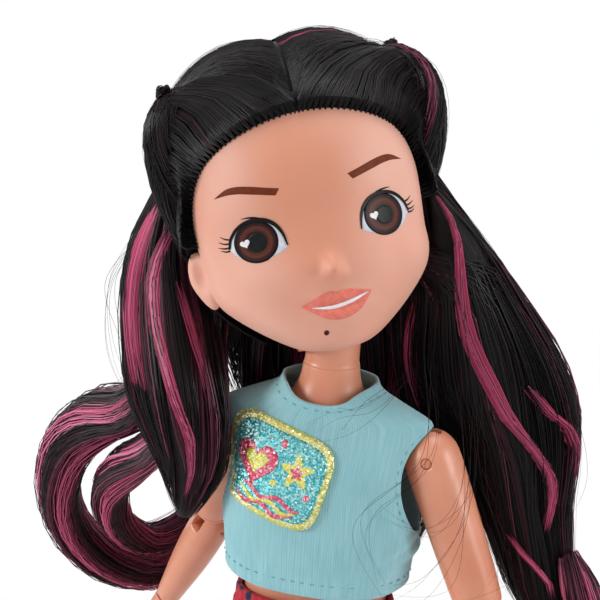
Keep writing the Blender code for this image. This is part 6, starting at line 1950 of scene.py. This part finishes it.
smoothParts = {"torso": ("torso_front", "torso_back")}
for word in ("left", "right"):
    smoothParts[f"upper_arm_{word}"] = (f"upper_arm_{word}", f"shoulder_pin_{word}")
    smoothParts[f"forearm_{word}"] = (f"forearm_{word}", f"elbow_pin_{word}")
    smoothParts[f"elbow_{word}"] = (f"elbow_peg_{word}",)
    smoothParts[f"shoulder_{word}"] = (f"shoulder_peg_{word}",)
    smoothParts[f"hand_{word}"] = (f"hand_{word}",)
    smoothParts[f"thigh_{word}"] = (f"thigh_{word}",)
    smoothParts[f"shin_{word}"] = (f"shin_{word}", f"knee_pin_{word}")
for body, names in smoothParts.items():
    for name in names:
        fineCopy(name, pinPlastic if "pin" in name else bodyPlastic, body)
print("plastic parts made")


neckSkin = {"top": 229.6, "bottom": 223.4, "rows": 20, "segments": 96, "lift": 0.06, "wall": 0.25}


def neckSkinMesh():
    # A smooth skin over the slots in which the neck knob's trunnions sit
    surface = surfaceOf(("torso_front", "torso_back"))
    count, rings = neckSkin["segments"], []
    outs = [Vector((cos(2 * pi * k / count), sin(2 * pi * k / count), 0)) for k in range(count)]
    for n in range(neckSkin["rows"]):
        z = neckSkin["bottom"] + (neckSkin["top"] - neckSkin["bottom"]) * n / (neckSkin["rows"] - 1)
        heart = Vector((0, shortsShape["bodyY"], min(z, 227.6)))
        near = castRing(surface, heart, outs, 9, 3.0)
        wide = [max(near[(k + j) % count] for j in range(-4, 5)) for k in range(count)]
        wide = [sum(wide[(k + j) % count] for j in range(-3, 4)) / 7 for k in range(count)]
        edge = smoothstep(neckSkin["bottom"], neckSkin["bottom"] + 0.7, z)
        near = [low - 0.1 + (high - low + 0.1) * edge for low, high in zip(near, wide)]
        edge -= 1.2 * smoothstep(228.6, neckSkin["top"], z)
        rings.append([heart + out * (reach + neckSkin["lift"] * edge) + Vector((0, 0, z - heart.z))
                      for out, reach in zip(outs, near)])
    return loftRings(rings, closeStart=False, closeEnd=False)


addWrap("neckSkin", neckSkinMesh(), bodyPlastic, neckSkin["wall"])


# Hidden and small CAD parts that keep their own shape

for name, node in nodes.items():
    if node.hide_render:
        continue
    if "strip" in name:
        chosen = hookTape
    elif name in ("neck_ball", "head_anchor", "hip_axle"):
        chosen = jointPlastic
    else:
        chosen = bodyPlastic
    node.data.materials.clear()
    node.data.materials.append(chosen)
    print("kept CAD node:", name)

# Stage, lights and camera

stageLook = {"floor": "#f2f2f2", "clearFrom": 0.10, "clearTo": 0.30}


def makeFloorPaper():
    # Pale paper sweep: keeps the soft shadow near the feet and fades to the plain white backdrop
    material, add = newMaterial("palePaper")
    spot = add("TexCoord")
    ring = add("VectorMath", {0: spot.outputs["Object"]}, operation="LENGTH")
    fade = add("MapRange", {"Value": ring.outputs["Value"], "From Min": stageLook["clearFrom"],
                                          "From Max": stageLook["clearTo"]}, interpolation_type="SMOOTHSTEP")
    path = add("LightPath")
    seen = add("Math", {0: path, 1: path.outputs["Is Glossy Ray"]}, operation="MAXIMUM")
    seenToo = add("Math", {0: seen, 1: path.outputs["Is Transmission Ray"]}, operation="MAXIMUM")
    clear = add("Math", {0: fade, 1: seenToo}, operation="MULTIPLY")
    paper = add("BsdfPrincipled", {"Base Color": colour(stageLook["floor"]), "Roughness": 0.9})
    glow = add("Emission", {"Color": (1, 1, 1, 1), "Strength": 1.0})
    both = add("MixShader", {0: clear, 1: paper, 2: glow})
    add("OutputMaterial", {"Surface": both})
    return material


floorMesh = bmesh.new()
bmesh.ops.create_circle(floorMesh, cap_ends=True, segments=96, radius=3.0, matrix=Matrix.Translation((0, 0, -0.0004)))
bmesh.ops.recalc_face_normals(floorMesh, faces=floorMesh.faces)
floor = addPiece("floor", floorMesh, makeFloorPaper(), "head", ride=False)

world = bpy.data.worlds.new("studio")
bpy.context.scene.world = world
world.use_nodes = True
world.node_tree.nodes.clear()
path = addNode(world, "LightPath")
seen = addNode(world, "Math", {0: path, 1: path.outputs["Is Transmission Ray"]}, operation="MAXIMUM")
seenToo = addNode(world, "Math", {0: seen, 1: path.outputs["Is Glossy Ray"]}, operation="MAXIMUM")
soft = addNode(world, "Background", {"Color": (1, 1, 1, 1), "Strength": 0.36})
bright = addNode(world, "Background", {"Color": (1, 1, 1, 1), "Strength": 1.0})
mixed = addNode(world, "MixShader", {0: seenToo, 1: soft, 2: bright})
addNode(world, "OutputWorld", {"Surface": mixed})

lamps = (  # name, place, size and power: two side softboxes and a weaker one from above
    ("softboxLeft", (-0.82, -0.46, 0.44), 0.36, 5.3),
    ("softboxRight", (0.88, -0.18, 0.52), 0.36, 3.6),
    ("softboxTop", (0.05, 0.02, 0.95), 0.36, 2.1),
)
for name, place, size, power in lamps:
    data = bpy.data.lights.new(name, "AREA")
    data.size, data.energy = size, power
    lamp = bpy.data.objects.new(name, data)
    lamp.location = place
    lamp.rotation_euler = (Vector((0, -0.0125, 0.2)) - Vector(place)).to_track_quat("-Z", "Y").to_euler()
    bpy.context.scene.collection.objects.link(lamp)

cameraPose = {"azimuth": 15.0, "elevation": 15.0, "roll": 4.0, "distance": 0.450, "focal": 2205.0,
              "aim": (0, -0.0125, 0.228), "pixel": (333.5, 341.0)}


def addCamera():
    pose = cameraPose
    azimuth, elevation, roll = (radians(pose[key]) for key in ("azimuth", "elevation", "roll"))
    back = Vector((sin(azimuth) * cos(elevation), -cos(azimuth) * cos(elevation), sin(elevation)))
    level = Vector((cos(azimuth), sin(azimuth), 0))
    upright = back.cross(level)
    right = level * cos(roll) + upright * sin(roll)
    up = upright * cos(roll) - level * sin(roll)
    scale = pose["distance"] / pose["focal"]
    place = (Vector(pose["aim"]) - right * (pose["pixel"][0] - 300) * scale
             + up * (pose["pixel"][1] - 300) * scale + back * pose["distance"])
    data = bpy.data.cameras.new("camera")
    data.sensor_width = 36.0
    data.lens = pose["focal"] / 600 * 36.0
    data.clip_start = 0.01
    camera = bpy.data.objects.new("camera", data)
    camera.matrix_world = Matrix((
        (right.x, up.x, back.x, place.x), (right.y, up.y, back.y, place.y), (right.z, up.z, back.z, place.z),
        (0, 0, 0, 1)))
    bpy.context.scene.collection.objects.link(camera)
    bpy.context.scene.camera = camera


addCamera()
bpy.context.scene.view_settings.view_transform = "Standard"
print("stage made")
